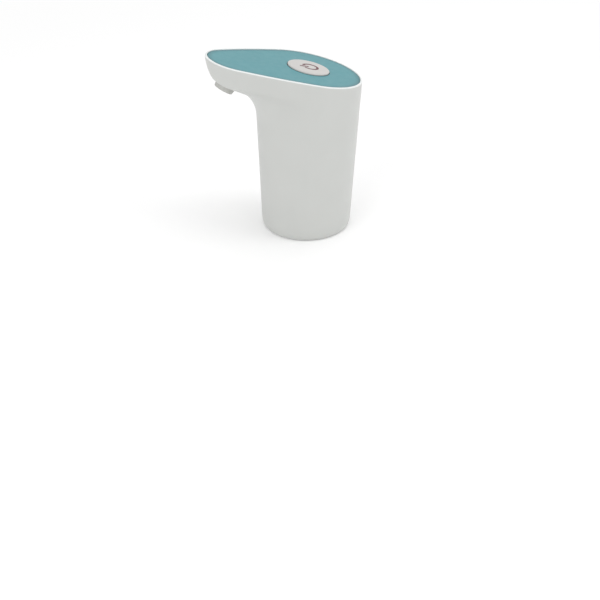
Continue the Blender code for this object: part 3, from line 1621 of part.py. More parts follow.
def wobble_plate(tilted):
    """The three-armed plate with its hub, about the inclined pin's axis."""
    half = WOBBLE_PLATE_THICKNESS / 2
    hub = bar_profile(WOBBLE_HUB_RADIUS, -half - 2 * WOBBLE_EYE_BOSS, WOBBLE_HUB_HEIGHT)
    thick = half + WOBBLE_EYE_BOSS
    plate = finish("wobble_plate", revolved(hub, SMALL_STEPS), frame_plastic(), tilted)
    for index, turn in enumerate(cup_turns()):
        place = Matrix.Rotation(turn, 4, "Z")
        size = (CUP_CIRCLE, WOBBLE_ARM_WIDTH, WOBBLE_PLATE_THICKNESS)
        arm = helper(boxed(size, (CUP_CIRCLE / 2, 0, 0)), f"wobble_arm_{index}", tilted, place)
        shift = place @ moved(CUP_CIRCLE, 0, 0)
        eye = revolved(bar_profile(WOBBLE_EYE_RADIUS, -thick, thick), SMALL_STEPS)
        join(arm, helper(eye, f"wobble_eye_{index}", tilted, shift))
        join(plate, arm)
    for index, turn in enumerate(cup_turns()):
        shift = Matrix.Rotation(turn, 4, "Z") @ moved(CUP_CIRCLE, 0, 0)
        reach = thick + CUT_OVERRUN
        hole = revolved(bar_profile(CUP_STEM_RADIUS + 2 * SEAT_GAP, -reach, reach), SMALL_STEPS)
        cut(plate, helper(hole, f"wobble_hole_{index}", tilted, shift))
    bore = bar_profile(WOBBLE_PIN_RADIUS + SEAT_GAP, 0, WOBBLE_HUB_HEIGHT + CUT_OVERRUN)
    cut(plate, helper(revolved(bore, TINY_STEPS), "wobble_bore", tilted))
    return plate


def eccentric_wheel(axis, pin_axis):
    """The wheel on the motor's shaft that carries the inclined pin."""
    low = wheel_low()
    top = low + WHEEL_THICKNESS
    wheel_bar = bar_profile(WHEEL_RADIUS, low, top, WHEEL_BEVEL)
    wheel = finish("eccentric_wheel", revolved(wheel_bar, ROUND_STEPS), black_plastic(), axis)
    shaft_hole = bar_profile(
        SHAFT_RADIUS + SEAT_GAP, top - SHAFT_ENGAGEMENT - SEAT_GAP, top + CUT_OVERRUN
    )
    cut(wheel, helper(revolved(shaft_hole, SMALL_STEPS), "wheel_shaft_hole", axis))
    reach = pin_length() + SEAT_GAP
    pin_hole = bar_profile(WOBBLE_PIN_RADIUS + SEAT_GAP, WOBBLE_HUB_HEIGHT, reach)
    cut(wheel, helper(revolved(pin_hole, SMALL_STEPS), "wheel_pin_hole", pin_axis))
    pin = revolved(bar_profile(WOBBLE_PIN_RADIUS, SEAT_GAP, pin_length()), SMALL_STEPS)
    finish("wobble_pin", pin, steel(), pin_axis)


# Motor


def motor_top():
    """Height of the top of the motor's can."""
    return motor_low() + MOTOR_LENGTH


def terminal_top():
    """Height of the top of the motor's terminals."""
    return motor_top() + SEAT_GAP + MOTOR_CAP_THICKNESS + TERMINAL_HEIGHT


def bearing_bore():
    """Radius of the bearings' bore."""
    return SHAFT_RADIUS + SEAT_GAP


def motor_body(axis):
    """The can, its end cap with terminals, the bearings and the magnets."""
    low = motor_low()
    top = motor_top()
    inner = MOTOR_RADIUS - MOTOR_WALL
    seat = BEARING_RADIUS + SEAT_GAP
    neck = seat + MOTOR_WALL
    neck_low = low - BEARING_NECK
    can = [
        (seat, neck_low),
        (neck, neck_low),
        (neck, low),
        (MOTOR_RADIUS - MOTOR_EDGE, low),
        (MOTOR_RADIUS, low + MOTOR_EDGE),
        (MOTOR_RADIUS, top),
        (inner, top),
        (inner, low + MOTOR_EDGE),
        (inner - MOTOR_EDGE, low + MOTOR_WALL),
        (seat, low + MOTOR_WALL),
    ]
    finish("motor_can", revolved(can, ROUND_STEPS), steel(), axis)
    cap_low = top + SEAT_GAP
    cap_top = cap_low + MOTOR_CAP_THICKNESS
    spigot = inner - SEAT_GAP
    cap = [
        (seat, cap_low - MOTOR_CAP_SPIGOT),
        (spigot, cap_low - MOTOR_CAP_SPIGOT),
        (spigot, cap_low),
        (MOTOR_RADIUS, cap_low),
        (MOTOR_RADIUS, cap_top - MOTOR_EDGE),
        (MOTOR_RADIUS - MOTOR_EDGE, cap_top),
        (seat, cap_top),
    ]
    end_cap = finish("motor_end_cap", revolved(cap, ROUND_STEPS), black_plastic(), axis)
    for number, side in enumerate((1, -1)):
        tall = TERMINAL_HEIGHT + JOIN_OVERLAP
        centre = (0, side * TERMINAL_SPACING / 2, cap_top - JOIN_OVERLAP + tall / 2)
        size = (TERMINAL_WIDTH, TERMINAL_THICKNESS, tall)
        join(end_cap, helper(boxed(size, centre), f"terminal_{number}", axis))
    lower = ring_profile(
        BEARING_RADIUS, bearing_bore(), neck_low, neck_low + BEARING_LENGTH
    )
    finish("motor_bearing_lower", revolved(lower, SMALL_STEPS), bronze(), axis)
    upper = ring_profile(BEARING_RADIUS, bearing_bore(), cap_top - BEARING_LENGTH, cap_top)
    finish("motor_bearing_upper", revolved(upper, SMALL_STEPS), bronze(), axis)
    magnet_low = low + MOTOR_EDGE + SEAT_GAP + MOTOR_WALL
    for number, facing in enumerate((0, math.pi)):
        magnet = arc_bar(
            inner - SEAT_GAP,
            inner - SEAT_GAP - MAGNET_THICKNESS,
            facing - MAGNET_SPAN / 2,
            facing + MAGNET_SPAN / 2,
            magnet_low,
            magnet_low + MAGNET_LENGTH,
        )
        finish(f"motor_magnet_{number + 1}", magnet, dark_steel(), axis)


def arc_bar(outer, inner, start, end, low, high):
    """A curved bar between two radii."""
    rings = []
    for step in range(TINY_STEPS + 1):
        turn = start + (end - start) * step / TINY_STEPS
        out = Vector((math.cos(turn), math.sin(turn), 0))
        corners = ((inner, low), (outer, low), (outer, high), (inner, high))
        rings.append([radius * out + Vector((0, 0, height)) for radius, height in corners])
    return lofted(rings, False)


def rotor(axis):
    """The armature, commutator and shaft, which turn together."""
    low = motor_low() + MOTOR_EDGE + MOTOR_WALL + BEARING_LENGTH
    top = low + ARMATURE_LENGTH
    bore = SHAFT_RADIUS + SEAT_GAP
    body = ring_profile(ARMATURE_RADIUS, bore, low, top)
    core = finish("motor_armature", revolved(body, ROUND_STEPS), dark_steel(), axis)
    for number in range(ARMATURE_SLOTS):
        turn = Matrix.Rotation(2 * math.pi * (number + 1 / 2) / ARMATURE_SLOTS, 4, "Z")
        length = ARMATURE_RADIUS - ARMATURE_CORE_RADIUS + CUT_OVERRUN
        centre = (ARMATURE_CORE_RADIUS + length / 2, 0, (low + top) / 2)
        size = (length, ARMATURE_SLOT, ARMATURE_LENGTH + 2 * CUT_OVERRUN)
        cut(core, helper(boxed(size, centre), f"armature_slot_{number}", axis, turn))
    start = top + SEAT_GAP
    ring = ring_profile(COMMUTATOR_RADIUS, bore, start, start + COMMUTATOR_LENGTH)
    finish("commutator", revolved(ring, SMALL_STEPS), copper(), axis)
    foot = wheel_low() + WHEEL_THICKNESS - SHAFT_ENGAGEMENT
    head = motor_top() + SEAT_GAP + MOTOR_CAP_THICKNESS + SHAFT_TAIL
    shaft = revolved(bar_profile(SHAFT_RADIUS, foot, head), SMALL_STEPS)
    finish("motor_shaft", shaft, steel(), axis)


# Battery and charging board


def cell_low():
    """Height of the cell's lower end, over the charging socket."""
    return port_height() + USB_HEIGHT / 2 + CELL_RISE


def cell_top():
    """Height of the top of the cell's sleeve."""
    return cell_low() + CELL_LENGTH


def battery(root):
    """The cell and the tabs welded to its ends."""
    low = cell_low()
    top = cell_top()
    profile = [
        *bar_profile(CELL_RADIUS, low, top, CELL_EDGE)[:-1],
        (CELL_CAP_RADIUS, top),
        (CELL_CAP_RADIUS, top + CELL_CAP_HEIGHT),
        (0, top + CELL_CAP_HEIGHT),
    ]
    place = moved(cell_offset(), 0, 0)
    finish("battery_cell", revolved(profile, ROUND_STEPS), cell_sleeve(), root, place)
    tab_size = (TAB_WIDTH, TAB_LENGTH, TAB_THICKNESS)
    upper = top + CELL_CAP_HEIGHT + SEAT_GAP + TAB_THICKNESS / 2
    lower = low - SEAT_GAP - TAB_THICKNESS / 2
    finish("battery_tab_positive", boxed(tab_size, (0, 0, upper)), steel(), root, place)
    finish("battery_tab_negative", boxed(tab_size, (0, 0, lower)), steel(), root, place)


def charge_board_low():
    """Height of the charging board's underside, over the frame's floor."""
    return frame_top() + CHARGE_BOARD_RISE


def charge_board_rear():
    """Rear edge of the charging board, inside the rear wall."""
    return rear_radius(port_height()) - WALL - CHARGE_BOARD_SETBACK


def usb_end():
    """Place of the charging socket's mouth, set back from the housing's skin."""
    return rear_radius(port_height()) - USB_SETBACK


def light_place():
    """Placement of the light pipe, with its Z along +X and zero inside the wall."""
    start = math.sqrt(rear_radius(port_height()) ** 2 - LIGHT_OFFSET**2) - 2 * WALL
    turn = Matrix.Rotation(math.pi / 2, 4, "Y")
    return moved(start, LIGHT_OFFSET, port_height()) @ turn


def charge_board(root):
    """The charging board with its light, its socket, the port's sleeve and the light pipe."""
    low = charge_board_low()
    top = low + CHARGE_BOARD_THICKNESS
    rear = charge_board_rear()
    centre = (rear - CHARGE_BOARD_LENGTH / 2, 0, (low + top) / 2)
    size = (CHARGE_BOARD_LENGTH, CHARGE_BOARD_WIDTH, CHARGE_BOARD_THICKNESS)
    board = finish("charge_board", boxed(size, centre), board_green(), root)
    led_height = port_height() - top + LED_SIDE / 2
    led_y = CHARGE_BOARD_WIDTH / 2 - LED_SIDE / 2
    led_centre = (rear - LED_SIDE, led_y, top + led_height / 2 - JOIN_OVERLAP / 2)
    led = boxed((LED_SIDE, LED_SIDE, led_height + JOIN_OVERLAP), led_centre)
    join(board, helper(led, "charge_led", root))
    middle = moved(0, 0, port_height())
    end = usb_end()
    start = end - USB_LENGTH
    jacket = rounded_bar(USB_WIDTH, USB_HEIGHT, USB_CORNER_RADIUS, start, end)
    socket = finish("usb_socket", jacket, steel(), root, middle)
    inner_width = USB_WIDTH - 2 * USB_WALL
    inner_height = USB_HEIGHT - 2 * USB_WALL
    mouth = rounded_bar(
        inner_width, inner_height, USB_CORNER_RADIUS - USB_WALL, start + USB_SETBACK, end + CUT_OVERRUN
    )
    tongue_size = (USB_LENGTH - 2 * USB_SETBACK, inner_width - USB_HEIGHT, USB_WALL * 2)
    tongue_x = start + USB_SETBACK - JOIN_OVERLAP + tongue_size[0] / 2
    cut(socket, helper(mouth, "usb_mouth", root, middle))
    tongue = boxed(tongue_size, (tongue_x, 0, 0))
    join(socket, helper(tongue, "usb_tongue", root, middle))
    wall = 2 * SEAT_GAP + PORT_SLEEVE_WALL
    sleeve_start = rear_radius(port_height()) - WALL - SEAT_GAP
    sleeve_end = rear_radius(port_height()) - USB_SETBACK / 2
    outer = rounded_bar(
        port_width() - 2 * SEAT_GAP,
        port_opening() - 2 * SEAT_GAP,
        port_corner() - SEAT_GAP,
        sleeve_start,
        sleeve_end,
    )
    sleeve = finish("usb_port_sleeve", outer, rubber(), root, middle)
    hole = rounded_bar(
        USB_WIDTH + 2 * SEAT_GAP,
        USB_HEIGHT + 2 * SEAT_GAP,
        port_corner() - wall + SEAT_GAP,
        sleeve_start - CUT_OVERRUN,
        sleeve_end + CUT_OVERRUN,
    )
    cut(sleeve, helper(hole, "sleeve_hole", root, middle))
    pipe = revolved(bar_profile(LIGHT_RADIUS, WALL / 2, 2 * WALL - LIGHT_INSET), SMALL_STEPS)
    finish("charge_light_pipe", pipe, light_clear(), root, light_place())


# Inner frame


def frame_radius():
    """Radius of the frame's floor, clear of the housing's wall."""
    return base_radius() - WALL - FRAME_GAP


def frame_low():
    """Height of the underside of the frame's floor, on the cup."""
    return socket_top() + SEAT_GAP


def frame_top():
    """Height of the top of the frame's floor."""
    return frame_low() + FRAME_FLOOR


def spine_middle():
    """Middle of the frame's spine."""
    return spine_rear() - SPINE_THICKNESS / 2


def spine_top():
    """Height of the spine's top, under the control board."""
    middle = spine_middle()
    under_board = on_rim(-middle, 0, -(BOARD_DEPTH + BOARD_THICKNESS))
    return under_board.z - BOARD_POST_GAP - SPINE_THICKNESS * math.tan(RIM_TILT)


def clamp(label, radius, wall, low, x, root):
    """A ring that holds a round piece, for joining to the spine."""
    profile = ring_profile(radius + SEAT_GAP + wall, radius + SEAT_GAP, low, low + CLAMP_HEIGHT)
    return helper(revolved(profile, ROUND_STEPS), label, root, moved(x, 0, 0))


def inner_frame(root):
    """The frame: a floor on the cup, a spine, rings for motor and cell, a shelf and posts."""
    floor = bar_profile(frame_radius(), frame_low(), frame_top())
    frame = finish("inner_frame", revolved(floor, FINE_STEPS), frame_plastic(), root)
    tall = spine_top() - frame_top() + JOIN_OVERLAP
    centre = (spine_middle(), 0, frame_top() - JOIN_OVERLAP + tall / 2)
    spine = boxed((SPINE_THICKNESS, SPINE_WIDTH, tall), centre)
    join(frame, helper(spine, "spine", root))
    low_ring = motor_low() + MOTOR_EDGE
    high_ring = motor_top() - CLAMP_HEIGHT - MOTOR_EDGE
    for index, low in enumerate((low_ring, high_ring)):
        join(frame, clamp(f"motor_clamp_{index}", MOTOR_RADIUS, CLAMP_WALL, low, pump_x(), root))
    cell_wall = CELL_CLAMP_WALL + JOIN_OVERLAP
    cell_rings = (cell_low() + CLAMP_HEIGHT, cell_top() - 2 * CLAMP_HEIGHT)
    for index, low in enumerate(cell_rings):
        join(frame, clamp(f"cell_clamp_{index}", CELL_RADIUS, cell_wall, low, cell_offset(), root))
    shelf_top = cell_low() - 2 * SEAT_GAP - TAB_THICKNESS
    shelf_length = cell_offset() + CELL_RADIUS / 2 - spine_middle()
    shelf_centre = (spine_middle() + shelf_length / 2, 0, shelf_top - CELL_SHELF / 2)
    shelf = boxed((shelf_length, SPINE_WIDTH / 2, CELL_SHELF), shelf_centre)
    join(frame, helper(shelf, "cell_shelf", root))
    for side in (1, -1):
        post_low = frame_top() - JOIN_OVERLAP
        post_top = charge_board_low() - SEAT_GAP
        x = charge_board_rear() - CHARGE_BOARD_LENGTH / 2
        y = side * (CHARGE_BOARD_WIDTH / 2 - BOARD_POST_RADIUS)
        post = revolved(bar_profile(BOARD_POST_RADIUS, post_low, post_top), SMALL_STEPS)
        join(frame, helper(post, f"charge_post_{side}", root, moved(x, y, 0)))
    for index, place in enumerate(board_screw_places()):
        top = -(BOARD_DEPTH + BOARD_THICKNESS + SEAT_GAP)
        post = revolved(bar_profile(BOARD_POST_RADIUS, top - BOARD_POST_LENGTH, top), SMALL_STEPS)
        join(frame, helper(post, f"board_post_{index}", root, place))
        low = top - BOARD_SCREW_LENGTH
        hole = bar_profile(BOARD_SCREW_RADIUS + SEAT_GAP, low, top + CUT_OVERRUN)
        cut(frame, helper(revolved(hole, TINY_STEPS), f"post_hole_{index}", root, place))
    for index, (x, y) in enumerate(screw_centres()):
        low = frame_low() - CUT_OVERRUN
        hole = bar_profile(SOCKET_SCREW_RADIUS + SEAT_GAP, low, frame_top() + CUT_OVERRUN)
        cut(frame, helper(revolved(hole, TINY_STEPS), f"frame_hole_{index}", root, moved(x, y, 0)))
    pass_hole = bar_profile(
        SPIGOT_FLANGE_RADIUS + 2 * SEAT_GAP, frame_low() - CUT_OVERRUN, frame_top() + CUT_OVERRUN
    )
    cut(frame, helper(revolved(pass_hole, SMALL_STEPS), "frame_spigot_hole", root))
    return frame


# Hoses, clips and wires


def inlet_hose(root):
    """The short hose from the spigot's barb to the pump's inlet barb."""
    low = spigot_barb_start() + SEAT_GAP
    high = pump_low() - PUMP_SCREW_HEAD_HEIGHT - 2 * SEAT_GAP
    profile = ring_profile(HOSE_RADIUS, HOSE_BORE_RADIUS, low, high)
    finish("inlet_hose", revolved(profile, SMALL_STEPS), silicone(), root)


def outlet_hose_path():
    """Route of the outlet hose, up the front wall and forward over the steel tube's tail."""
    tail = nozzle_path()[-1]
    back = Vector((math.cos(RIM_TILT), 0, -math.sin(RIM_TILT)))
    end = tail - (NOZZLE_TAIL_LENGTH - SEAT_GAP) * back
    start_x = -OUTLET_HOSE_OFFSET
    drop = (start_x - tail.x) / back.x
    corner = tail + drop * back
    turn = math.pi / 2 - RIM_TILT
    reach = OUTLET_BEND_RADIUS * math.tan(turn / 2)
    centre = Vector((start_x - OUTLET_BEND_RADIUS, 0, corner.z - reach))
    bend = arc_points(centre, OUTLET_BEND_RADIUS, 0, turn, ARC_STEPS + 2)
    foot = Vector((start_x, 0, outlet_barb_start() + SEAT_GAP))
    return [foot, *bend, tail, end]


def outlet_hose(root):
    """The hose from the pump's outlet to the nozzle's steel tube, with a clip at each end."""
    path = outlet_hose_path()
    tube = swept_tube(path, HOSE_RADIUS, HOSE_BORE_RADIUS, SMALL_STEPS)
    finish("outlet_hose", tube, silicone(), root)
    inner = HOSE_RADIUS + SEAT_GAP
    band = ring_profile(inner + CLIP_THICKNESS, inner, -CLIP_WIDTH / 2, CLIP_WIDTH / 2)
    lower = path[0] + Vector((0, 0, BARB_LENGTH / 2))
    finish("hose_clip_lower", revolved(band, SMALL_STEPS), steel(), root, Matrix.Translation(lower))
    middle = (path[-1] + path[-2]) / 2
    slant = Matrix.Rotation(math.pi / 2 + RIM_TILT, 4, "Y")
    upper = Matrix.Translation(middle) @ slant
    finish("hose_clip_upper", revolved(band, SMALL_STEPS), steel(), root, upper)


def smooth_route(stops):
    """Points of a smooth curve through the stops."""
    padded = [2 * stops[0] - stops[1], *stops, 2 * stops[-1] - stops[-2]]
    points = []
    for first, start, end, last in zip(padded, padded[1:], padded[2:], padded[3:]):
        for step in range(WIRE_POINTS_PER_LEG):
            t = step / WIRE_POINTS_PER_LEG
            push = (end - first) * t + (2 * first - 5 * start + 4 * end - last) * t**2
            push += (3 * start - first - 3 * end + last) * t**3
            points.append(start + push / 2)
    return [*points, stops[-1]]


def wire(name, stops, look, root):
    """A round wire through its stops."""
    curve = bpy.data.curves.new(name, "CURVE")
    curve.dimensions = "3D"
    curve.bevel_depth = WIRE_RADIUS
    curve.bevel_resolution = WIRE_BEVEL_STEPS
    curve.use_fill_caps = True
    route = smooth_route([Vector(stop) for stop in stops])
    line = curve.splines.new("POLY")
    line.points.add(len(route) - 1)
    for point, place in zip(line.points, route):
        point.co = (*place, 1)
    curve.materials.append(look)
    made = bpy.data.objects.new(name, curve)
    bpy.context.scene.collection.objects.link(made)
    made.parent = root


def wires(root):
    """Wires from the control board to the motor, and from the board to the cell and charger."""
    under = -(BOARD_DEPTH + BOARD_THICKNESS + SEAT_GAP + WIRE_RADIUS / 2)
    away = 2 * WIRE_RADIUS
    side_y = TERMINAL_SPACING / 2 + TERMINAL_THICKNESS / 2 + WIRE_RADIUS + SEAT_GAP
    looks = (wire_red(), wire_black())
    for index, side in enumerate((1, -1)):
        top = on_rim(-pump_x(), side * (side_y + away), under)
        bottom = Vector((pump_x(), side * side_y, terminal_top() - TERMINAL_HEIGHT / 2))
        middle = Vector((pump_x(), side * (side_y + away), (top.z + bottom.z) / 2))
        wire(f"motor_wire_{index + 1}", [top, middle, bottom], looks[index], root)


def main():
    """Build the pump, then centre it on the origin."""
    clear_scene()
    root = empty("pump_root", None, Matrix.Identity(4))
    shell = housing_shell(root)
    top_panel(root)
    button_group(root)
    control_board(root)
    nozzle(root)
    neck_socket(root)
    neck_gasket(root)
    socket_screws(root)
    inlet_spigot(root)
    pump_axis = empty("pump_axis", root, moved(pump_x(), 0, 0))
    head_cover(pump_axis)
    valve_plate(pump_axis)
    valves(pump_axis)
    diaphragm(pump_axis)
    pump_case(pump_axis)
    pump_screws(pump_axis)
    rotor_axis = empty("rotor_axis", pump_axis, Matrix.Identity(4))
    slant = moved(0, 0, pivot_height()) @ Matrix.Rotation(WOBBLE_ANGLE, 4, "Y")
    pin_axis = empty("wobble_axis", rotor_axis, slant)
    wobble_plate(pin_axis)
    eccentric_wheel(rotor_axis, pin_axis)
    motor_body(pump_axis)
    rotor(rotor_axis)
    battery(root)
    charge_board(root)
    inner_frame(root)
    inlet_hose(root)
    outlet_hose(root)
    wires(root)
    reaches = [vertex.co.x for vertex in shell.data.vertices]
    root.location.x = -(min(reaches) + max(reaches)) / 2


main()
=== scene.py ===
"""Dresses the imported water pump: fine outer pieces, procedural finishes, studio and camera."""

import json
import logging
import math
from collections.abc import Iterable, Sequence
from dataclasses import dataclass
from enum import Enum, IntEnum
from functools import cache, cached_property

import bmesh
import bpy
from mathutils import Matrix, Vector


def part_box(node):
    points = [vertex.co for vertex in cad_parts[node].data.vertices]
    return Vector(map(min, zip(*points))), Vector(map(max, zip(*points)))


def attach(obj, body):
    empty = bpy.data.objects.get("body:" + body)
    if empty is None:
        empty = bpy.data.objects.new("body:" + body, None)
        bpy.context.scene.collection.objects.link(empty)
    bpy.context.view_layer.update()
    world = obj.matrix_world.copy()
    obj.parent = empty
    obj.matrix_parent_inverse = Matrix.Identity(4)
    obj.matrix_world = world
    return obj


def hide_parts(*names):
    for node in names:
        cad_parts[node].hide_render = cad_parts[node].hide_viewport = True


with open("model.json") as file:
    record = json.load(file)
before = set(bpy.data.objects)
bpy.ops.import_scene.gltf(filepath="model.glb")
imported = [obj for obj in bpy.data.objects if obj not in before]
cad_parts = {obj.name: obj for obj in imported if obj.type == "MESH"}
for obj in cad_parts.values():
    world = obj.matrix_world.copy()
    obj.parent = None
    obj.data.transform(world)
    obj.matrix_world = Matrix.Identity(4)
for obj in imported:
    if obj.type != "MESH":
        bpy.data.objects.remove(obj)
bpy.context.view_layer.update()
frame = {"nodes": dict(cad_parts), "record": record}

MM = 0.001
SHARP_ANGLE = math.radians(32)
WELD_DISTANCE = 0.0005 * MM
BOOLEAN_OVERRUN = 2.0 * MM
CORNER_SHARE = 0.45  # Largest share of a side that a rounded corner takes.
SLOPE_STEP = 0.01
HALVINGS = 30
# Name of the mesh attribute that marks the panel's band of painted shade.
EDGE_SHADE_MARK = "edge_shade_band"
NOISE_LOW, NOISE_HIGH = 0.3, 0.7
WAVE_LENGTH = math.pi / 10  # Length of one wave of the wave texture at scale 1.
WHITE = (1, 1, 1, 1)

Colour = tuple[float, float, float]
Material = bpy.types.Material
Piece = bpy.types.Object
Socket = bpy.types.NodeSocket
Work = bmesh.types.BMesh
Tone = Colour | Socket
Swing = tuple[float, float]
Profile = Sequence[tuple[float, float]]

log = logging.getLogger("pump")


class Body(Enum):
    """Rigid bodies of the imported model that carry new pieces."""

    HOUSING = "housing"
    BUTTON = "button"


class Slot(Enum):
    """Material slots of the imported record."""

    HOUSING = "housing_white"
    PANEL = "panel_teal"
    BUTTON = "button_silver"
    COLLAR = "collar_grey"
    FRAME = "frame_plastic"
    BLACK = "black_plastic"
    SILICONE = "silicone"
    RUBBER = "rubber"
    STEEL = "steel"
    IRON = "dark_steel"
    COPPER = "copper"
    BRONZE = "bronze"
    BOARD = "board_green"
    SLEEVE = "cell_sleeve"
    LIGHT = "light_clear"
    RED_WIRE = "wire_red"
    BLACK_WIRE = "wire_black"


class Facets(IntEnum):
    """Facets round a turned piece, by the size of the piece."""

    LARGE = 128
    COLLAR = 96
    MIDDLE = 64
    SMALL = 48
    SLENDER = 40
    SHANK = 32
    BORE = 24


# Axis and rim


def housing_axis() -> Matrix:
    """Placement on the housing's axis, which is the neck socket's."""
    low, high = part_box("neck_socket")
    return Matrix.Translation(((low[0] + high[0]) / 2, 0, 0))


@dataclass(frozen=True)
class RimPlane:
    """The plane of the housing's rim, tilted up towards the beak."""

    height: float = 124.364 * MM
    tilt: float = math.radians(13.7)

    def point(self, forward: float, left: float, rise: float) -> Vector:
        """A point from its place in the plane and its height square to it.

        Args:
            forward: Distance from the housing's axis towards the beak.
            left: Distance across.
            rise: Height over the plane.

        Returns:
            The point, measured from the housing's axis.
        """
        reach = forward * math.cos(self.tilt) - rise * math.sin(self.tilt)
        height = self.height + forward * math.sin(self.tilt) + rise * math.cos(self.tilt)
        return Vector((-reach, left, height))

    def placement(self, forward: float = 0) -> Matrix:
        """Placement with X towards the beak and Z square to the plane.

        Args:
            forward: Distance of its origin from the housing's axis.

        Returns:
            The placement.
        """
        ahead = Vector((-math.cos(self.tilt), 0, math.sin(self.tilt)))
        up = Vector((math.sin(self.tilt), 0, math.cos(self.tilt)))
        turn = Matrix((ahead, up.cross(ahead), up)).transposed().to_4x4()
        return Matrix.Translation(self.point(forward, 0, 0)) @ turn


# Finishes


class NodeTree:
    """Adds and links the nodes of a material or of the world."""

    def __init__(self, owner: Material | bpy.types.World) -> None:
        """Switch the owner's nodes on."""
        owner.use_nodes = True
        self.tree = owner.node_tree

    def adjust(self, node: bpy.types.Node, **values: object) -> None:
        """Set a node's properties or sockets by name.

        Args:
            node: The node.
            values: Properties, or sockets with underscores for spaces.
        """
        for key, value in values.items():
            if hasattr(node, key):
                setattr(node, key, value)
            else:
                node.inputs[key.replace("_", " ")].default_value = value

    def add(self, kind: str, **values: object) -> bpy.types.Node:
        """Add a node.

        Args:
            kind: Blender's name of the node type.
            values: Its properties, or sockets with underscores for spaces.

        Returns:
            The new node.
        """
        node = self.tree.nodes.new(kind)
        self.adjust(node, **values)
        return node

    def link(self, start: Socket, end: Socket) -> None:
        """Link two sockets."""
        self.tree.links.new(start, end)


class ShaderTree(NodeTree):
    """The nodes of one Principled material."""

    def __init__(self, name: str) -> None:
        """Start from an empty Principled material.

        Args:
            name: Name of the material.
        """
        self.material = bpy.data.materials.new(name)
        super().__init__(self.material)
        self.shader = self.tree.nodes["Principled BSDF"]
        self.place = self.add("ShaderNodeTexCoord").outputs["Object"]

    def noise(self, size: float, detail: float = 3, stretch: Vector | None = None) -> Socket:
        """Noise over the object's own coordinates.

        Args:
            size: Length of one blotch, in metres.
            detail: Octaves of finer noise.
            stretch: Factors on the coordinates, for streaks.

        Returns:
            The noise value's socket.
        """
        start = self.place
        if stretch is not None:
            mapping = self.add("ShaderNodeMapping", Scale=stretch)
            self.link(start, mapping.inputs["Vector"])
            start = mapping.outputs["Vector"]
        node = self.add("ShaderNodeTexNoise", Scale=1 / size, Detail=detail)
        self.link(start, node.inputs["Vector"])
        return node.outputs["Fac"]

    def spread(self, value: Socket, low: float = 0, high: float = 1) -> Socket:
        """Map a noise value to a range.

        Args:
            value: Socket that runs around one half.
            low: Result at the noise's usual low.
            high: Result at its usual high.

        Returns:
            The mapped socket.
        """
        node = self.add("ShaderNodeMapRange", From_Min=NOISE_LOW, From_Max=NOISE_HIGH)
        self.adjust(node, To_Min=low, To_Max=high)
        self.link(value, node.inputs["Value"])
        return node.outputs["Result"]

    def blend(self, share: Socket, low: Tone, high: Tone) -> Socket:
        """Mix two colours by a socket.

        Args:
            share: Socket from 0 to 1.
            low: Colour at 0, written out or as a socket.
            high: Colour at 1, written out or as a socket.

        Returns:
            The mixed colour's socket.
        """
        node = self.add("ShaderNodeMix", data_type="RGBA")
        ends = [socket for socket in node.inputs if socket.type == "RGBA"]
        for tone, end in zip((low, high), ends):
            if isinstance(tone, tuple):
                end.default_value = (*tone, 1)
            else:
                self.link(tone, end)
        self.link(share, node.inputs["Factor"])
        return next(socket for socket in node.outputs if socket.type == "RGBA")

    def tone(self, share: Socket, colour: Colour, darker: float, lighter: float) -> None:
        """Link the base colour, from a darker to a lighter tone of one colour."""
        ends = tinted(colour, -darker), tinted(colour, lighter)
        self.link(self.blend(share, *ends), self.shader.inputs["Base Color"])

    def roughen(self, value: Socket, middle: float, swing: Swing) -> None:
        """Link the roughness, which a noise value swings down and up from its middle."""
        rough = self.spread(value, middle - swing[0], middle + swing[1])
        self.link(rough, self.shader.inputs["Roughness"])

    def bump(self, height: Socket, depth: float) -> None:
        """Add relief.

        Args:
            height: Socket from 0 to 1.
            depth: Depth of the relief, in metres.
        """
        node = self.add("ShaderNodeBump", Distance=depth, Strength=1)
        self.link(height, node.inputs["Height"])
        self.link(node.outputs["Normal"], self.shader.inputs["Normal"])


def tinted(colour: Colour, share: float) -> Colour:
    """A colour made lighter or darker by a share."""
    return tuple(max(part * (1 + share), 0) for part in colour)


@dataclass(frozen=True)
class Finish:
    """A named finish, from which a material is built."""

    name: str
    colour: Colour

    def material(self) -> Material:
        """Build the material.

        Returns:
            The new material.
        """
        tree = ShaderTree(self.name)
        self.paint(tree)
        return tree.material

    def paint(self, tree: ShaderTree) -> None:
        """Link the finish into its material; each kind of finish has its own way."""
        raise NotImplementedError


@dataclass(frozen=True)
class MouldedPlastic(Finish):
    """Injection-moulded plastic with a fine spark-eroded grain and a faint cloudiness."""

    roughness: float = 0.42
    drift: float = 0.025
    cloud_size: float = 22 * MM
    grain_size: float = 0.22 * MM
    grain_depth: float = 0.012 * MM
    specular: float = 0.45
    swing: Swing = (0.03, 0.04)

    def shade(self, tree: ShaderTree) -> Socket:
        """Socket of the clouded colour."""
        cloud = tree.spread(tree.noise(self.cloud_size, detail=4))
        return tree.blend(cloud, tinted(self.colour, -self.drift), tinted(self.colour, self.drift))

    def paint(self, tree: ShaderTree) -> None:
        """Link the colour, the patchy roughness and the grain.

        Args:
            tree: Nodes of the material that is built.
        """
        tree.link(self.shade(tree), tree.shader.inputs["Base Color"])
        tree.roughen(tree.noise(self.cloud_size / 5, detail=2), self.roughness, self.swing)
        tree.adjust(tree.shader, Specular_IOR_Level=self.specular)
        tree.bump(tree.noise(self.grain_size, detail=2), self.grain_depth)


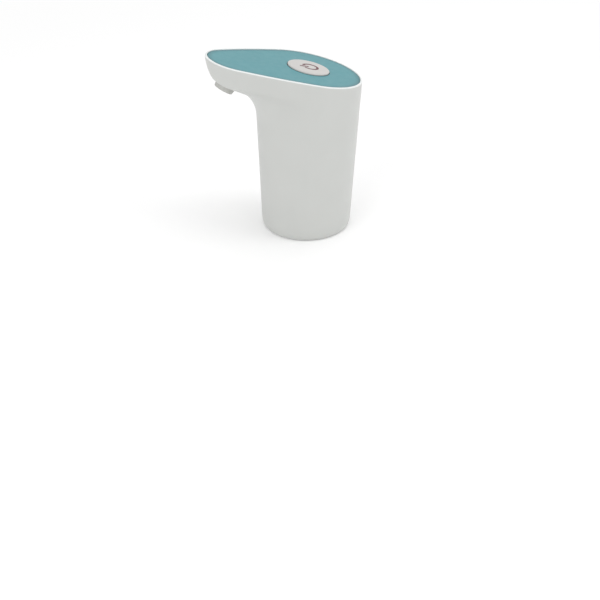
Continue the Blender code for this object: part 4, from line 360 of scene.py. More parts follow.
@dataclass(frozen=True)
class RimHighlightPlastic(MouldedPlastic):
    """Moulded plastic with a painted highlight: its rim is painted paler than its sides."""

    rim: RimPlane = RimPlane()
    rim_highlight_colour: Colour = (0.80, 0.83, 0.825)
    rim_depth: float = 0.55 * MM
    rim_fade: float = 0.2 * MM

    def shade(self, tree: ShaderTree) -> Socket:
        """Socket of the clouded colour, with a painted highlight that makes the rim paler.

        Args:
            tree: Nodes of the material that is built.

        Returns:
            The colour socket.
        """
        place = housing_axis() @ self.rim.placement()
        up = place.to_3x3().col[2]
        height = tree.add("ShaderNodeVectorMath", operation="DOT_PRODUCT")
        tree.link(tree.place, height.inputs[0])
        height.inputs[1].default_value = up
        # The painted highlight fades in over rim_fade below this height and covers all above it.
        top = place.translation.dot(up) - self.rim_depth
        share = tree.add("ShaderNodeMapRange", From_Min=top - self.rim_fade, From_Max=top)
        tree.link(height.outputs["Value"], share.inputs["Value"])
        return tree.blend(share.outputs["Result"], super().shade(tree), self.rim_highlight_colour)


@dataclass(frozen=True)
class EdgeShadePlastic(MouldedPlastic):
    """Moulded plastic with painted shade: darker along a band marked in the mesh, where the rim shades
    the panel.
    """

    edge_shade_colour: Colour = (0.072, 0.205, 0.23)

    def shade(self, tree: ShaderTree) -> Socket:
        """Socket of the clouded colour, with painted shade along the marked band."""
        mark = tree.add("ShaderNodeAttribute", attribute_name=EDGE_SHADE_MARK)
        return tree.blend(mark.outputs["Fac"], super().shade(tree), self.edge_shade_colour)


@dataclass(frozen=True)
class SoftRubber(Finish):
    """Rubber or silicone with a soft bloom and slight scatter."""

    roughness: float = 0.6
    milky: float = 0.0
    bloom: float = 0.06
    cloud_size: float = 6 * MM
    grain_size: float = 0.3 * MM
    grain_depth: float = 0.015 * MM
    scatter: float = 2 * MM
    swing: Swing = (0.05, 0.05)

    def paint(self, tree: ShaderTree) -> None:
        """Link the bloom, the roughness, the scatter and the grain.

        Args:
            tree: Nodes of the material that is built.
        """
        cloud = tree.spread(tree.noise(self.cloud_size, detail=5))
        tree.tone(cloud, self.colour, self.bloom, self.bloom)
        tree.roughen(tree.noise(self.cloud_size / 3), self.roughness, self.swing)
        tree.adjust(tree.shader, Subsurface_Weight=self.milky, Subsurface_Scale=self.scatter)
        tree.bump(tree.noise(self.grain_size, detail=2), self.grain_depth)


@dataclass(frozen=True)
class DrawnMetal(Finish):
    """Metal with fine draw or turning marks along the piece's height."""

    roughness: float = 0.28
    streak_size: float = 0.5 * MM
    streak_stretch: float = 12.0
    streak_depth: float = 0.006 * MM
    drift: float = 0.08
    swing: Swing = (0.06, 0.08)

    def paint(self, tree: ShaderTree) -> None:
        """Link the marks as colour, roughness and relief.

        Args:
            tree: Nodes of the material that is built.
        """
        streak = tree.noise(self.streak_size, stretch=Vector((1, 1, self.streak_stretch)))
        tree.tone(tree.spread(streak), self.colour, self.drift, self.drift)
        tree.roughen(streak, self.roughness, self.swing)
        tree.adjust(tree.shader, Metallic=1)
        tree.bump(streak, self.streak_depth)


@dataclass(frozen=True)
class LaminatedIron(Finish):
    """A stack of thin iron sheets."""

    sheet: float = 0.5 * MM
    roughness: float = 0.5
    waver: float = 0.4
    seam_shade: float = 0.45
    sheet_shade: float = 0.2
    seam_depth: float = 0.03 * MM
    metallic: float = 0.8
    patch_size: float = 2 * MM
    swing: Swing = (0.08, 0.08)

    def paint(self, tree: ShaderTree) -> None:
        """Link the stack as colour and relief, and the roughness.

        Args:
            tree: Nodes of the material that is built.
        """
        wave = tree.add("ShaderNodeTexWave", bands_direction="Z", Distortion=self.waver)
        tree.adjust(wave, Scale=WAVE_LENGTH / self.sheet)
        tree.link(tree.place, wave.inputs["Vector"])
        tree.tone(wave.outputs["Fac"], self.colour, self.seam_shade, self.sheet_shade)
        tree.roughen(tree.noise(self.patch_size), self.roughness, self.swing)
        tree.adjust(tree.shader, Metallic=self.metallic)
        tree.bump(wave.outputs["Fac"], self.seam_depth)


@dataclass(frozen=True)
class SolderResist(Finish):
    """Circuit board under solder resist, with the relief of its tracks."""

    track: float = 1.4 * MM
    roughness: float = 0.38
    row_shift: float = 0.37
    squash: float = 1.6
    squash_rows: int = 3
    gap: float = 0.06
    copper_shade: float = 0.8
    relief: float = 0.035 * MM
    patch_size: float = 1.5 * MM
    swing: Swing = (0.05, 0.1)

    def paint(self, tree: ShaderTree) -> None:
        """Link the tracks as colour and relief, and the roughness.

        Args:
            tree: Nodes of the material that is built.
        """
        brick = tree.add("ShaderNodeTexBrick", offset=self.row_shift, squash=self.squash)
        tree.adjust(brick, squash_frequency=self.squash_rows)
        tree.adjust(brick, Scale=1 / (4 * self.track), Mortar_Size=self.gap)
        tree.link(tree.place, brick.inputs["Vector"])
        tree.tone(brick.outputs["Fac"], self.colour, 0, self.copper_shade)
        tree.roughen(tree.noise(self.patch_size), self.roughness, self.swing)
        tree.bump(brick.outputs["Fac"], self.relief)


@dataclass(frozen=True)
class ShrinkSleeve(Finish):
    """Glossy shrink film with faint creases round the cell."""

    roughness: float = 0.28
    crease_size: float = 3 * MM
    crease_stretch: tuple[float, float, float] = (0.6, 0.6, 2.5)
    crease_depth: float = 0.05 * MM
    drift: float = 0.15
    swing: Swing = (0.05, 0.12)

    def paint(self, tree: ShaderTree) -> None:
        """Link the creases as colour, roughness and relief.

        Args:
            tree: Nodes of the material that is built.
        """
        crease = tree.noise(self.crease_size, detail=4, stretch=Vector(self.crease_stretch))
        tree.tone(tree.spread(crease), self.colour, self.drift, self.drift)
        tree.roughen(crease, self.roughness, self.swing)
        tree.bump(crease, self.crease_depth)


@dataclass(frozen=True)
class PrintedInk(Finish):
    """Pad-printed ink with slightly uneven cover."""

    faded: Colour
    roughness: float = 0.5
    cover_size: float = 1.2 * MM
    patch_size: float = 0.4 * MM
    grain_size: float = 0.15 * MM
    grain_depth: float = 0.004 * MM
    swing: Swing = (0.08, 0.08)

    def paint(self, tree: ShaderTree) -> None:
        """Link the uneven cover, the roughness and the grain.

        Args:
            tree: Nodes of the material that is built.
        """
        cover = tree.spread(tree.noise(self.cover_size, detail=5))
        tree.link(tree.blend(cover, self.colour, self.faded), tree.shader.inputs["Base Color"])
        tree.roughen(tree.noise(self.patch_size), self.roughness, self.swing)
        tree.bump(tree.noise(self.grain_size), self.grain_depth)


SLOT_FINISHES: dict[Slot, Finish] = {
    # The housing's finish paints a highlight along its rim.
    Slot.HOUSING: RimHighlightPlastic("housing_satin", (0.61, 0.62, 0.60), drift=0.012),
    # The panel's finish paints shade along its edge, next to the rim.
    Slot.PANEL: EdgeShadePlastic("panel_satin_teal", (0.090, 0.288, 0.322), drift=0.02, specular=0.25),
    Slot.BUTTON: MouldedPlastic(
        "button_silver_satin", (0.575, 0.56, 0.54), roughness=0.38, drift=0.012, specular=0.35
    ),
    # The collar's colour is partly its grey plastic and partly painted shade, darker where it sits under
    # the beak.
    Slot.COLLAR: MouldedPlastic("collar_grey_and_shade_satin", (0.5, 0.5, 0.475), roughness=0.45, drift=0.015),
    Slot.FRAME: MouldedPlastic("natural_moulding", (0.58, 0.58, 0.55), roughness=0.5, drift=0.03),
    Slot.BLACK: MouldedPlastic("black_moulding", (0.028, 0.028, 0.03), roughness=0.5, drift=0.1),
    Slot.SILICONE: SoftRubber("milky_silicone", (0.66, 0.68, 0.68), roughness=0.4, milky=0.3, bloom=0.03),
    Slot.RUBBER: SoftRubber("black_rubber", (0.035, 0.035, 0.036), roughness=0.7, bloom=0.2),
    Slot.STEEL: DrawnMetal("bright_steel", (0.62, 0.62, 0.63)),
    Slot.IRON: LaminatedIron("stacked_iron", (0.2, 0.2, 0.21)),
    Slot.COPPER: DrawnMetal("turned_copper", (0.75, 0.36, 0.2), roughness=0.3),
    Slot.BRONZE: DrawnMetal(
        "sintered_bronze",
        (0.5, 0.36, 0.19),
        roughness=0.5,
        streak_size=0.25 * MM,
        streak_stretch=1.0,
        streak_depth=0.02 * MM,
    ),
    Slot.BOARD: SolderResist("green_solder_resist", (0.015, 0.13, 0.05)),
    Slot.SLEEVE: ShrinkSleeve("blue_shrink_sleeve", (0.03, 0.12, 0.36)),
    Slot.LIGHT: SoftRubber("milky_light_pipe", (0.8, 0.8, 0.8), roughness=0.2, milky=0.4, bloom=0.02),
    Slot.RED_WIRE: MouldedPlastic("red_insulation", (0.5, 0.02, 0.02), roughness=0.4, drift=0.08),
    Slot.BLACK_WIRE: MouldedPlastic("black_insulation", (0.02, 0.02, 0.02), roughness=0.4, drift=0.1),
}
SYMBOL_INK = PrintedInk("symbol_ink", (0.075, 0.014, 0.02), (0.12, 0.025, 0.032))


@cache
def finish_of(finish: Finish) -> Material:
    """Material of a finish, made once."""
    return finish.material()


# Mesh tools


def along(turn: float) -> Vector:
    """Flat direction at a turn from the first axis."""
    return Vector((math.cos(turn), math.sin(turn)))


def square_to(turn: float) -> Vector:
    """Flat direction a quarter turn beyond a turn."""
    return Vector((-math.sin(turn), math.cos(turn)))


def heading(path: Sequence[Vector], here: int) -> Vector:
    """Direction of a path at one of its points."""
    return (path[min(here + 1, len(path) - 1)] - path[max(here - 1, 0)]).normalized()


def quarter(steps: int) -> list[tuple[float, float]]:
    """Pairs from (0, 1) to (1, 0) along a quarter circle, for a rounded edge."""
    turns = [math.pi / 2 * step / steps for step in range(steps + 1)]
    return [(1 - math.cos(turn), 1 - math.sin(turn)) for turn in turns]


def lofted(rings: Sequence[Sequence[Vector]], closed: bool) -> Work:
    """Bridge rings of equal count.

    Args:
        rings: Rings of points, in order.
        closed: Whether the last ring joins the first; otherwise both ends are capped.

    Returns:
        The closed solid.
    """
    work = bmesh.new()
    loops = [[work.verts.new(point) for point in ring] for ring in rings]
    pairs = list(zip(loops, loops[1:]))
    if closed:
        pairs.append((loops[-1], loops[0]))
    for lower, upper in pairs:
        for here, _ in enumerate(lower):
            after = (here + 1) % len(lower)
            work.faces.new((lower[here], lower[after], upper[after], upper[here]))
    if not closed:
        work.faces.new(loops[0])
        work.faces.new(loops[-1])
    return work


def circle(radius: float, height: float, steps: int) -> list[Vector]:
    """Points of a level circle."""
    turns = [2 * math.pi * step / steps for step in range(steps)]
    return [Vector((radius * math.cos(t), radius * math.sin(t), height)) for t in turns]


def turned(profile: Profile, steps: int) -> Work:
    """Turn a profile about Z.

    Args:
        profile: (radius, height) points. One that starts and ends at radius 0 gives a solid.
        steps: Facets round the axis.

    Returns:
        The closed solid.
    """
    solid = profile[0][0] == 0 and profile[-1][0] == 0
    inner = profile[1:-1] if solid else profile
    return lofted([circle(radius, height, steps) for radius, height in inner], not solid)


def cylinder(radius: float, low: float, high: float, steps: int) -> Work:
    """A plain cylinder about Z."""
    return turned([(0, low), (radius, low), (radius, high), (0, high)], steps)


def eased(profile: Profile, radius: float, steps: int = 4) -> list[tuple[float, float]]:
    """Round the corners of a profile.

    Args:
        profile: Corner points in order. The first and last stay as they are.
        radius: Largest radius of the rounding.
        steps: Segments in each corner.

    Returns:
        The profile with its corners rounded.
    """
    points = [Vector(point) for point in profile]
    result = [tuple(points[0])]
    for before, corner, after in zip(points, points[1:], points[2:]):
        back, on = before - corner, after - corner
        reach = min(radius, back.length * CORNER_SHARE, on.length * CORNER_SHARE)
        start = corner + back.normalized() * reach
        end = corner + on.normalized() * reach
        for step in range(steps + 1):
            share = step / steps
            first = start.lerp(corner, share)
            result.append(tuple(first.lerp(corner.lerp(end, share), share)))
    result.append(tuple(points[-1]))
    return result


def tube(path: Sequence[Vector], outer: float, inner: float, steps: int) -> Work:
    """A hollow tube along a path in the XZ plane.

    Args:
        path: Points of the tube's axis.
        outer: Outer radius.
        inner: Bore radius.
        steps: Facets round the tube.

    Returns:
        The closed solid.
    """
    side = Vector((0, 1, 0))
    rings: list[list[Vector]] = []
    for radius, order in ((outer, path), (inner, path[::-1])):
        for point in order:
            up = heading(path, path.index(point)).cross(side)
            turns = [2 * math.pi * step / steps for step in range(steps)]
            rings.append([point + radius * (math.cos(t) * side + math.sin(t) * up) for t in turns])
    return lofted(rings, True)


def rounded_slab(
    width: float, height: float, corner: float, start: float, end: float, steps: int = 8
) -> Work:
    """A bar along X with a rounded section.

    Args:
        width: Size along Y.
        height: Size along Z.
        corner: Corner radius, held to half the smaller size.
        start: Lowest X.
        end: Highest X.
        steps: Segments in each corner.

    Returns:
        The closed solid.
    """
    corner = min(corner, height / 2, width / 2)
    rings = []
    for reach in (start, end):
        ring = []
        for number, (side, top) in enumerate(((1, 1), (-1, 1), (-1, -1), (1, -1))):
            for step in range(steps + 1):
                turn = math.pi / 2 * (number + step / steps)
                y = side * (width / 2 - corner) + corner * math.cos(turn)
                z = top * (height / 2 - corner) + corner * math.sin(turn)
                ring.append(Vector((reach, y, z)))
        rings.append(ring)
    return lofted(rings, False)


def placed(name: str, data: bpy.types.ID) -> Piece:
    """Add an object to the scene.

    Args:
        name: Name of the object.
        data: Its mesh, lamp or camera.

    Returns:
        The new object.
    """
    made = bpy.data.objects.new(name, data)
    bpy.context.scene.collection.objects.link(made)
    return made


def solid(name: str, work: Work, place: Matrix | None = None) -> Piece:
    """Turn a bmesh into an object in the row frame.

    Args:
        name: Name of the object.
        work: The closed solid, which is freed.
        place: Its placement from the housing's axis, with zero at the foot.

    Returns:
        The smooth-shaded object.
    """
    work.transform(housing_axis() @ (place or Matrix()))
    bmesh.ops.remove_doubles(work, verts=work.verts, dist=WELD_DISTANCE)
    bmesh.ops.recalc_face_normals(work, faces=work.faces)
    if work.calc_volume(signed=True) < 0:
        bmesh.ops.reverse_faces(work, faces=work.faces)
    mesh = bpy.data.meshes.new(name)
    work.to_mesh(mesh)
    work.free()
    mesh.shade_smooth()
    mesh.set_sharp_from_angle(angle=SHARP_ANGLE)
    return placed(name, mesh)


def combined(target: Piece, tools: Iterable[Piece], operation: str) -> None:
    """Cut tools from a solid or join them on, and apply the result.

    Args:
        target: The solid to change.
        tools: Solids that are used up.
        operation: DIFFERENCE or UNION.
    """
    for tool in tools:
        step = target.modifiers.new(tool.name, "BOOLEAN")
        step.operation = operation
        step.solver = "EXACT"
        step.object = tool
        graph = bpy.context.evaluated_depsgraph_get()
        result = bpy.data.meshes.new_from_object(target.evaluated_get(graph))
        target.modifiers.clear()
        target.data = result
        bpy.data.objects.remove(tool)
    target.data.shade_smooth()
    target.data.set_sharp_from_angle(angle=SHARP_ANGLE)


def softened(target: Piece, width: float) -> None:
    """Bevel the sharp edges of an object by a small width.

    Args:
        target: The object to bevel.
        width: Width of the bevel.
    """
    step = target.modifiers.new("edge", "BEVEL")
    step.width = width
    step.segments = 2
    step.limit_method = "ANGLE"
    step.angle_limit = SHARP_ANGLE
    step.harden_normals = True


def dressed(
    piece: Piece, slot: Slot, *nodes: str, body: Body = Body.HOUSING, finish: Finish | None = None
) -> None:
    """Give a new piece the finish of its slot, or its own, hang it on its body, and hide the CAD nodes
    that it stands for.

    Args:
        piece: The new piece.
        slot: The record's slot whose finish it takes.
        nodes: CAD nodes that it replaces.
        body: The body that carries it.
        finish: Its finish, if it isn't the slot's own.
    """
    piece.data.materials.clear()
    piece.data.materials.append(finish_of(finish or SLOT_FINISHES[slot]))
    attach(piece, body.value)
    if nodes:
        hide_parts(*nodes)
    log.info("%s stands for %s", piece.name, ", ".join(nodes) or "no node")


# Form of the housing


@dataclass(frozen=True)
class EggOutline:
    """Outline of the top: a tail arc, a nose arc and two long side arcs."""

    tail_radius: float = 37.9 * MM
    nose_radius: float = 22.3 * MM
    side_radius: float = 311.0 * MM
    nose_distance: float = 54.3 * MM
    setback: float = 1.95 * MM
    tail_steps: int = 76
    side_steps: int = 30
    nose_steps: int = 44

    def points(self, offset: float) -> list[Vector]:
        """Points moved outwards by an offset, as (forward, left) lengths.

        Args:
            offset: Distance outwards.

        Returns:
            The outline, starting at the nose.
        """
        tail_reach = self.side_radius - self.tail_radius
        nose_reach = self.side_radius - self.nose_radius
        ahead = (tail_reach**2 - nose_reach**2 + self.nose_distance**2) / (2 * self.nose_distance)
        across = math.sqrt(tail_reach**2 - ahead**2)
        to_nose = math.atan2(across, self.nose_distance - ahead)
        to_tail = math.atan2(across, -ahead)
        full = 2 * math.pi
        nose = Vector((self.nose_distance - self.setback, 0))
        tail = Vector((-self.setback, 0))
        left = Vector((ahead - self.setback, -across))
        right = Vector((ahead - self.setback, across))
        half = self.nose_steps // 2
        arcs = (
            (nose, self.nose_radius, 0, to_nose, half),
            (left, self.side_radius, to_nose, to_tail, self.side_steps),
            (tail, self.tail_radius, to_tail, full - to_tail, self.tail_steps),
            (right, self.side_radius, full - to_tail, full - to_nose, self.side_steps),
            (nose, self.nose_radius, full - to_nose, full, half),
        )
        found = []
        for centre, radius, start, end, steps in arcs:
            for step in range(steps):
                turn = start + (end - start) * step / steps
                found.append(centre + (radius + offset) * along(turn))
        return found

    def ring(self, rim: RimPlane, offset: float, rise: float) -> list[Vector]:
        """The outline in space, at a height over the rim's plane."""
        return [rim.point(point.x, point.y, rise) for point in self.points(offset)]


@dataclass(frozen=True)
class BodySkin:
    """Outer surface of the housing: a drafted round body that spreads into the beak."""

    rim: RimPlane = RimPlane()
    egg: EggOutline = EggOutline()
    base_radius: float = 33.5 * MM
    front_draft: float = math.radians(1.9)
    rim_offset: float = 1.75 * MM
    rim_edge: float = 0.6 * MM
    arch_radius: float = 34.3 * MM
    belly_angle: float = math.radians(26.7)
    chin_radius: float = 9.0 * MM
    chin_angle: float = math.radians(67.4)
    nose_radius: float = 42.0 * MM
    tip_angle: float = math.radians(87.1)
    arc_steps: int = 16
    belly_steps: int = 4
    nose_steps: int = 6

    @cached_property
    def tops(self) -> list[Vector]:
        """Points of the rim's side, just under its rounding."""
        return self.egg.ring(self.rim, self.rim_offset, -self.rim_edge)

    @cached_property
    def rear_slope(self) -> float:
        """Slope that takes the rear wall straight from the foot to the rim.

        Returns:
            Growth of the radius for each metre of height.
        """
        back = self.egg.setback + self.egg.tail_radius + self.rim_offset
        tail = self.rim.point(-back, 0, -self.rim_edge)
        return (tail.x - self.base_radius) / tail.z

    def radius(self, height: float, ahead: float) -> float:
        """Radius of the body at a height; ahead is 1 towards the beak and -1 towards the rear."""
        front = math.tan(self.front_draft)
        return self.base_radius + height * (front + (self.rear_slope - front) * (1 - ahead) / 2)

    @cached_property
    def tip(self) -> Vector:
        """Foremost point of the rim's side, as (reach, height).

        Returns:
            The point.
        """
        reach = self.egg.nose_distance - self.egg.setback + self.egg.nose_radius + self.rim_offset
        tip = self.rim.point(reach, 0, -self.rim_edge)
        return Vector((-tip.x, tip.z))

    def nose_point(self, slope: float) -> Vector:
        """Point of the nose's side profile, as (reach, height), where it has a slope."""
        return self.tip + self.nose_radius * (square_to(self.tip_angle) - square_to(slope))

    def chin_point(self, slope: float) -> Vector:
        """Point of the chin, between nose and belly, as (reach, height), where it has a slope."""
        start = self.nose_point(self.chin_angle)
        return start + self.chin_radius * (square_to(self.chin_angle) - square_to(slope))

    def arch_centre(self) -> Vector:
        """Centre of the arch that is tangent to the body's front line and to the belly.

        Returns:
            The centre, as (reach, height).
        """
        front = Vector((math.sin(self.front_draft), math.cos(self.front_draft)))
        foot = Vector((self.base_radius, 0)) + self.arch_radius * Vector((front.y, -front.x))
        belly = along(self.belly_angle)
        start = self.chin_point(self.belly_angle) + self.arch_radius * Vector((belly.y, -belly.x))
        gap = start - foot
        share = (gap.x * belly.y - gap.y * belly.x) / (front.x * belly.y - front.y * belly.x)
        return foot + share * front

    @cached_property
    def profile(self) -> list[Vector]:
        """Side profile from the arch's foot to the tip, as (reach, height).

        Returns:
            Points of the profile, upwards.
        """
        centre = self.arch_centre()
        points = []
        for step in range(self.arc_steps + 1):
            slope = math.pi / 2 - self.front_draft
            slope += (self.belly_angle - slope) * step / self.arc_steps
            points.append(centre + self.arch_radius * square_to(slope))
        start, end = points[-1], self.chin_point(self.belly_angle)
        points += [start.lerp(end, step / self.belly_steps) for step in range(1, self.belly_steps)]
        for step in range(self.arc_steps + 1):
            turn = (self.chin_angle - self.belly_angle) * step / self.arc_steps
            points.append(self.chin_point(self.belly_angle + turn))
        for step in range(1, self.nose_steps + 1):
            turn = (self.tip_angle - self.chin_angle) * step / self.nose_steps
            points.append(self.nose_point(self.chin_angle + turn))
        return points

    @cached_property
    def shares(self) -> list[tuple[float, float]]:
        """The side profile as (share of the height, share of the reach beyond the body).

        Returns:
            One pair for each point of the profile.
        """
        low, tip = self.profile[0].y, self.profile[-1]
        reach = tip.x - self.radius(tip.y, 1)
        return [
            ((point.y - low) / (tip.y - low), (point.x - self.radius(point.y, 1)) / reach)
            for point in self.profile
        ]

    def share_at(self, height_share: float) -> float:
        """Share of the reach at a share of the height.

        Args:
            height_share: Share of the way from the arch's foot to the rim.

        Returns:
            The share, from 0 to 1.
        """
        for (low, inner), (high, outer) in zip(self.shares, self.shares[1:]):
            if height_share <= high:
                return inner + (outer - inner) * (height_share - low) / (high - low)
        return self.shares[-1][1]

    def point(self, column: int, height_share: float) -> Vector:
        """A point of the surface over the round body.

        Args:
            column: Number of the rim's point that the column leads to.
            height_share: Share of the way from the arch's foot to the rim.

        Returns:
            The point, measured from the housing's axis.
        """
        top = self.tops[column % len(self.tops)]
        out = top.xy.normalized()
        height = self.profile[0].y + height_share * (top.z - self.profile[0].y)
        reach = top.xy.length - self.radius(top.z, -out.x)
        radius = self.radius(height, -out.x) + reach * self.share_at(height_share)
        return Vector((*(radius * out), height))

    def body_point(self, column: int, height: float, inset: float) -> Vector:
        """A point of the round body in a column's direction, set in from the surface."""
        out = self.tops[column].xy.normalized()
        return Vector((*((self.radius(height, -out.x) - inset) * out), height))

    def inward(self, column: int, height_share: float) -> Vector:
        """Direction square to the surface, into the housing.

        Args:
            column: Number of the rim's point that the column leads to.
            height_share: Share of the way from the arch's foot to the rim.

        Returns:
            The direction, of length 1.
        """
        above, below = height_share + SLOPE_STEP, max(height_share - SLOPE_STEP, 0)
        up = self.point(column, above) - self.point(column, below)
        around = self.point(column + 1, height_share) - self.point(column - 1, height_share)
        return around.cross(up).normalized()

    def share_at_depth(self, column: int, depth: float) -> float:
        """Share of the height at which a column lies a depth under the rim's plane.

        Args:
            column: Number of the rim's point that the column leads to.
            depth: Depth under the plane.

        Returns:
            The share, from 0 to 1.
        """
        low, high = 0.0, 1.0
        for _ in range(HALVINGS):
            middle = (low + high) / 2
            point = self.point(column, middle)
            tilt = self.rim.tilt
            rise = (point.z - self.rim.height) * math.cos(tilt) + point.x * math.sin(tilt)
            low, high = (low, middle) if rise > -depth else (middle, high)
        return (low + high) / 2


# Outer pieces


@dataclass(frozen=True)
class Collar:
    """The nozzle: a collar set into the beak, and the bent steel tube behind its mouth."""

    skin: BodySkin
    angle: float = math.radians(32)
    setback: float = 6.5 * MM
    radius: float = 7.4 * MM
    taper: float = 0.5 * MM
    projection: float = 3.8 * MM
    depth: float = 5.0 * MM
    flange: float = 1.3 * MM
    flange_thickness: float = 1.4 * MM
    recess_radius: float = 5.6 * MM
    recess_depth: float = 2.0 * MM
    tube_radius: float = 3.2 * MM
    bore_radius: float = 2.5 * MM
    bend_radius: float = 5.2 * MM
    tail_length: float = 9.0 * MM
    seal_radius: float = 0.6 * MM
    groove_depth: float = 1.9 * MM
    gap: float = 0.3 * MM
    easing: float = 0.4 * MM
    straight_steps: int = 8
    bend_steps: int = 16

    def placement(self) -> Matrix:
        """Placement with Z out of the beak along the nozzle, and zero on the belly line.

        Returns:
            The placement.
        """
        slope = self.skin.belly_angle
        point = self.skin.chin_point(slope) - self.setback * along(slope)
        out = Vector((-math.sin(self.angle), 0, -math.cos(self.angle)))
        side = Vector((0, 1, 0))
        turn = Matrix((side.cross(out), side, out)).transposed().to_4x4()
        return Matrix.Translation((-point.x, 0, point.y)) @ turn

    def collar_profile(self) -> list[tuple[float, float]]:
        """Section of the collar, with eased corners.

        Returns:
            Its (radius, height) points.
        """
        bore = self.tube_radius + self.gap
        end = -self.depth - self.flange_thickness
        face = self.projection
        seal = self.seal_radius + self.gap
        middle = -self.depth / 2
        corners = [
            (bore, end),
            (self.radius + self.flange, end),
            (self.radius + self.flange, -self.depth),
            (self.radius, -self.depth),
            (self.radius, 0),
            (self.radius - self.taper, face),
            (self.recess_radius, face),
            (self.recess_radius - self.taper, face - self.recess_depth),
            (bore, face - self.recess_depth),
            (bore, middle + seal),
            (bore + self.groove_depth, middle + seal),
            (bore + self.groove_depth, middle - seal),
            (bore, middle - seal),
        ]
        return eased(corners, self.easing, steps=5)

    def tube_path(self) -> list[Vector]:
        """Axis of the steel tube, from its mouth round the bend and back along the beak.

        Returns:
            Points of the axis.
        """
        place = self.placement()
        mouth = place @ Vector((0, 0, self.projection - self.recess_depth + self.gap))
        start = place @ Vector((0, 0, -self.depth - self.flange_thickness))
        inwards = math.pi / 2 - self.angle
        back = -self.skin.rim.tilt
        centre = start + self.bend_radius * Vector((math.sin(inwards), 0, -math.cos(inwards)))
        path = [mouth.lerp(start, step / self.straight_steps) for step in range(self.straight_steps)]
        for step in range(self.bend_steps + 1):
            turn = inwards + math.pi / 2 + (back - inwards) * step / self.bend_steps
            path.append(centre + self.bend_radius * Vector((math.cos(turn), 0, math.sin(turn))))
        path.append(path[-1] + self.tail_length * Vector((math.cos(back), 0, math.sin(back))))
        return path

    def hole(self) -> Piece:
        """Tool that cuts the collar's hole in the beak.

        Returns:
            The tool.
        """
        low, high = -self.depth - self.flange_thickness, self.projection + BOOLEAN_OVERRUN
        tool = cylinder(self.radius + self.gap, low, high, Facets.COLLAR)
        return solid("collar_hole", tool, self.placement())

    def build(self) -> None:
        """Make the collar and the tube."""
        collar = turned(self.collar_profile(), Facets.COLLAR)
        dressed(solid("nozzle_mouth", collar, self.placement()), Slot.COLLAR, "nozzle_collar")
        pipe = tube(self.tube_path(), self.tube_radius, self.bore_radius, Facets.SLENDER)
        dressed(solid("nozzle_pipe", pipe), Slot.STEEL, "nozzle_tube")


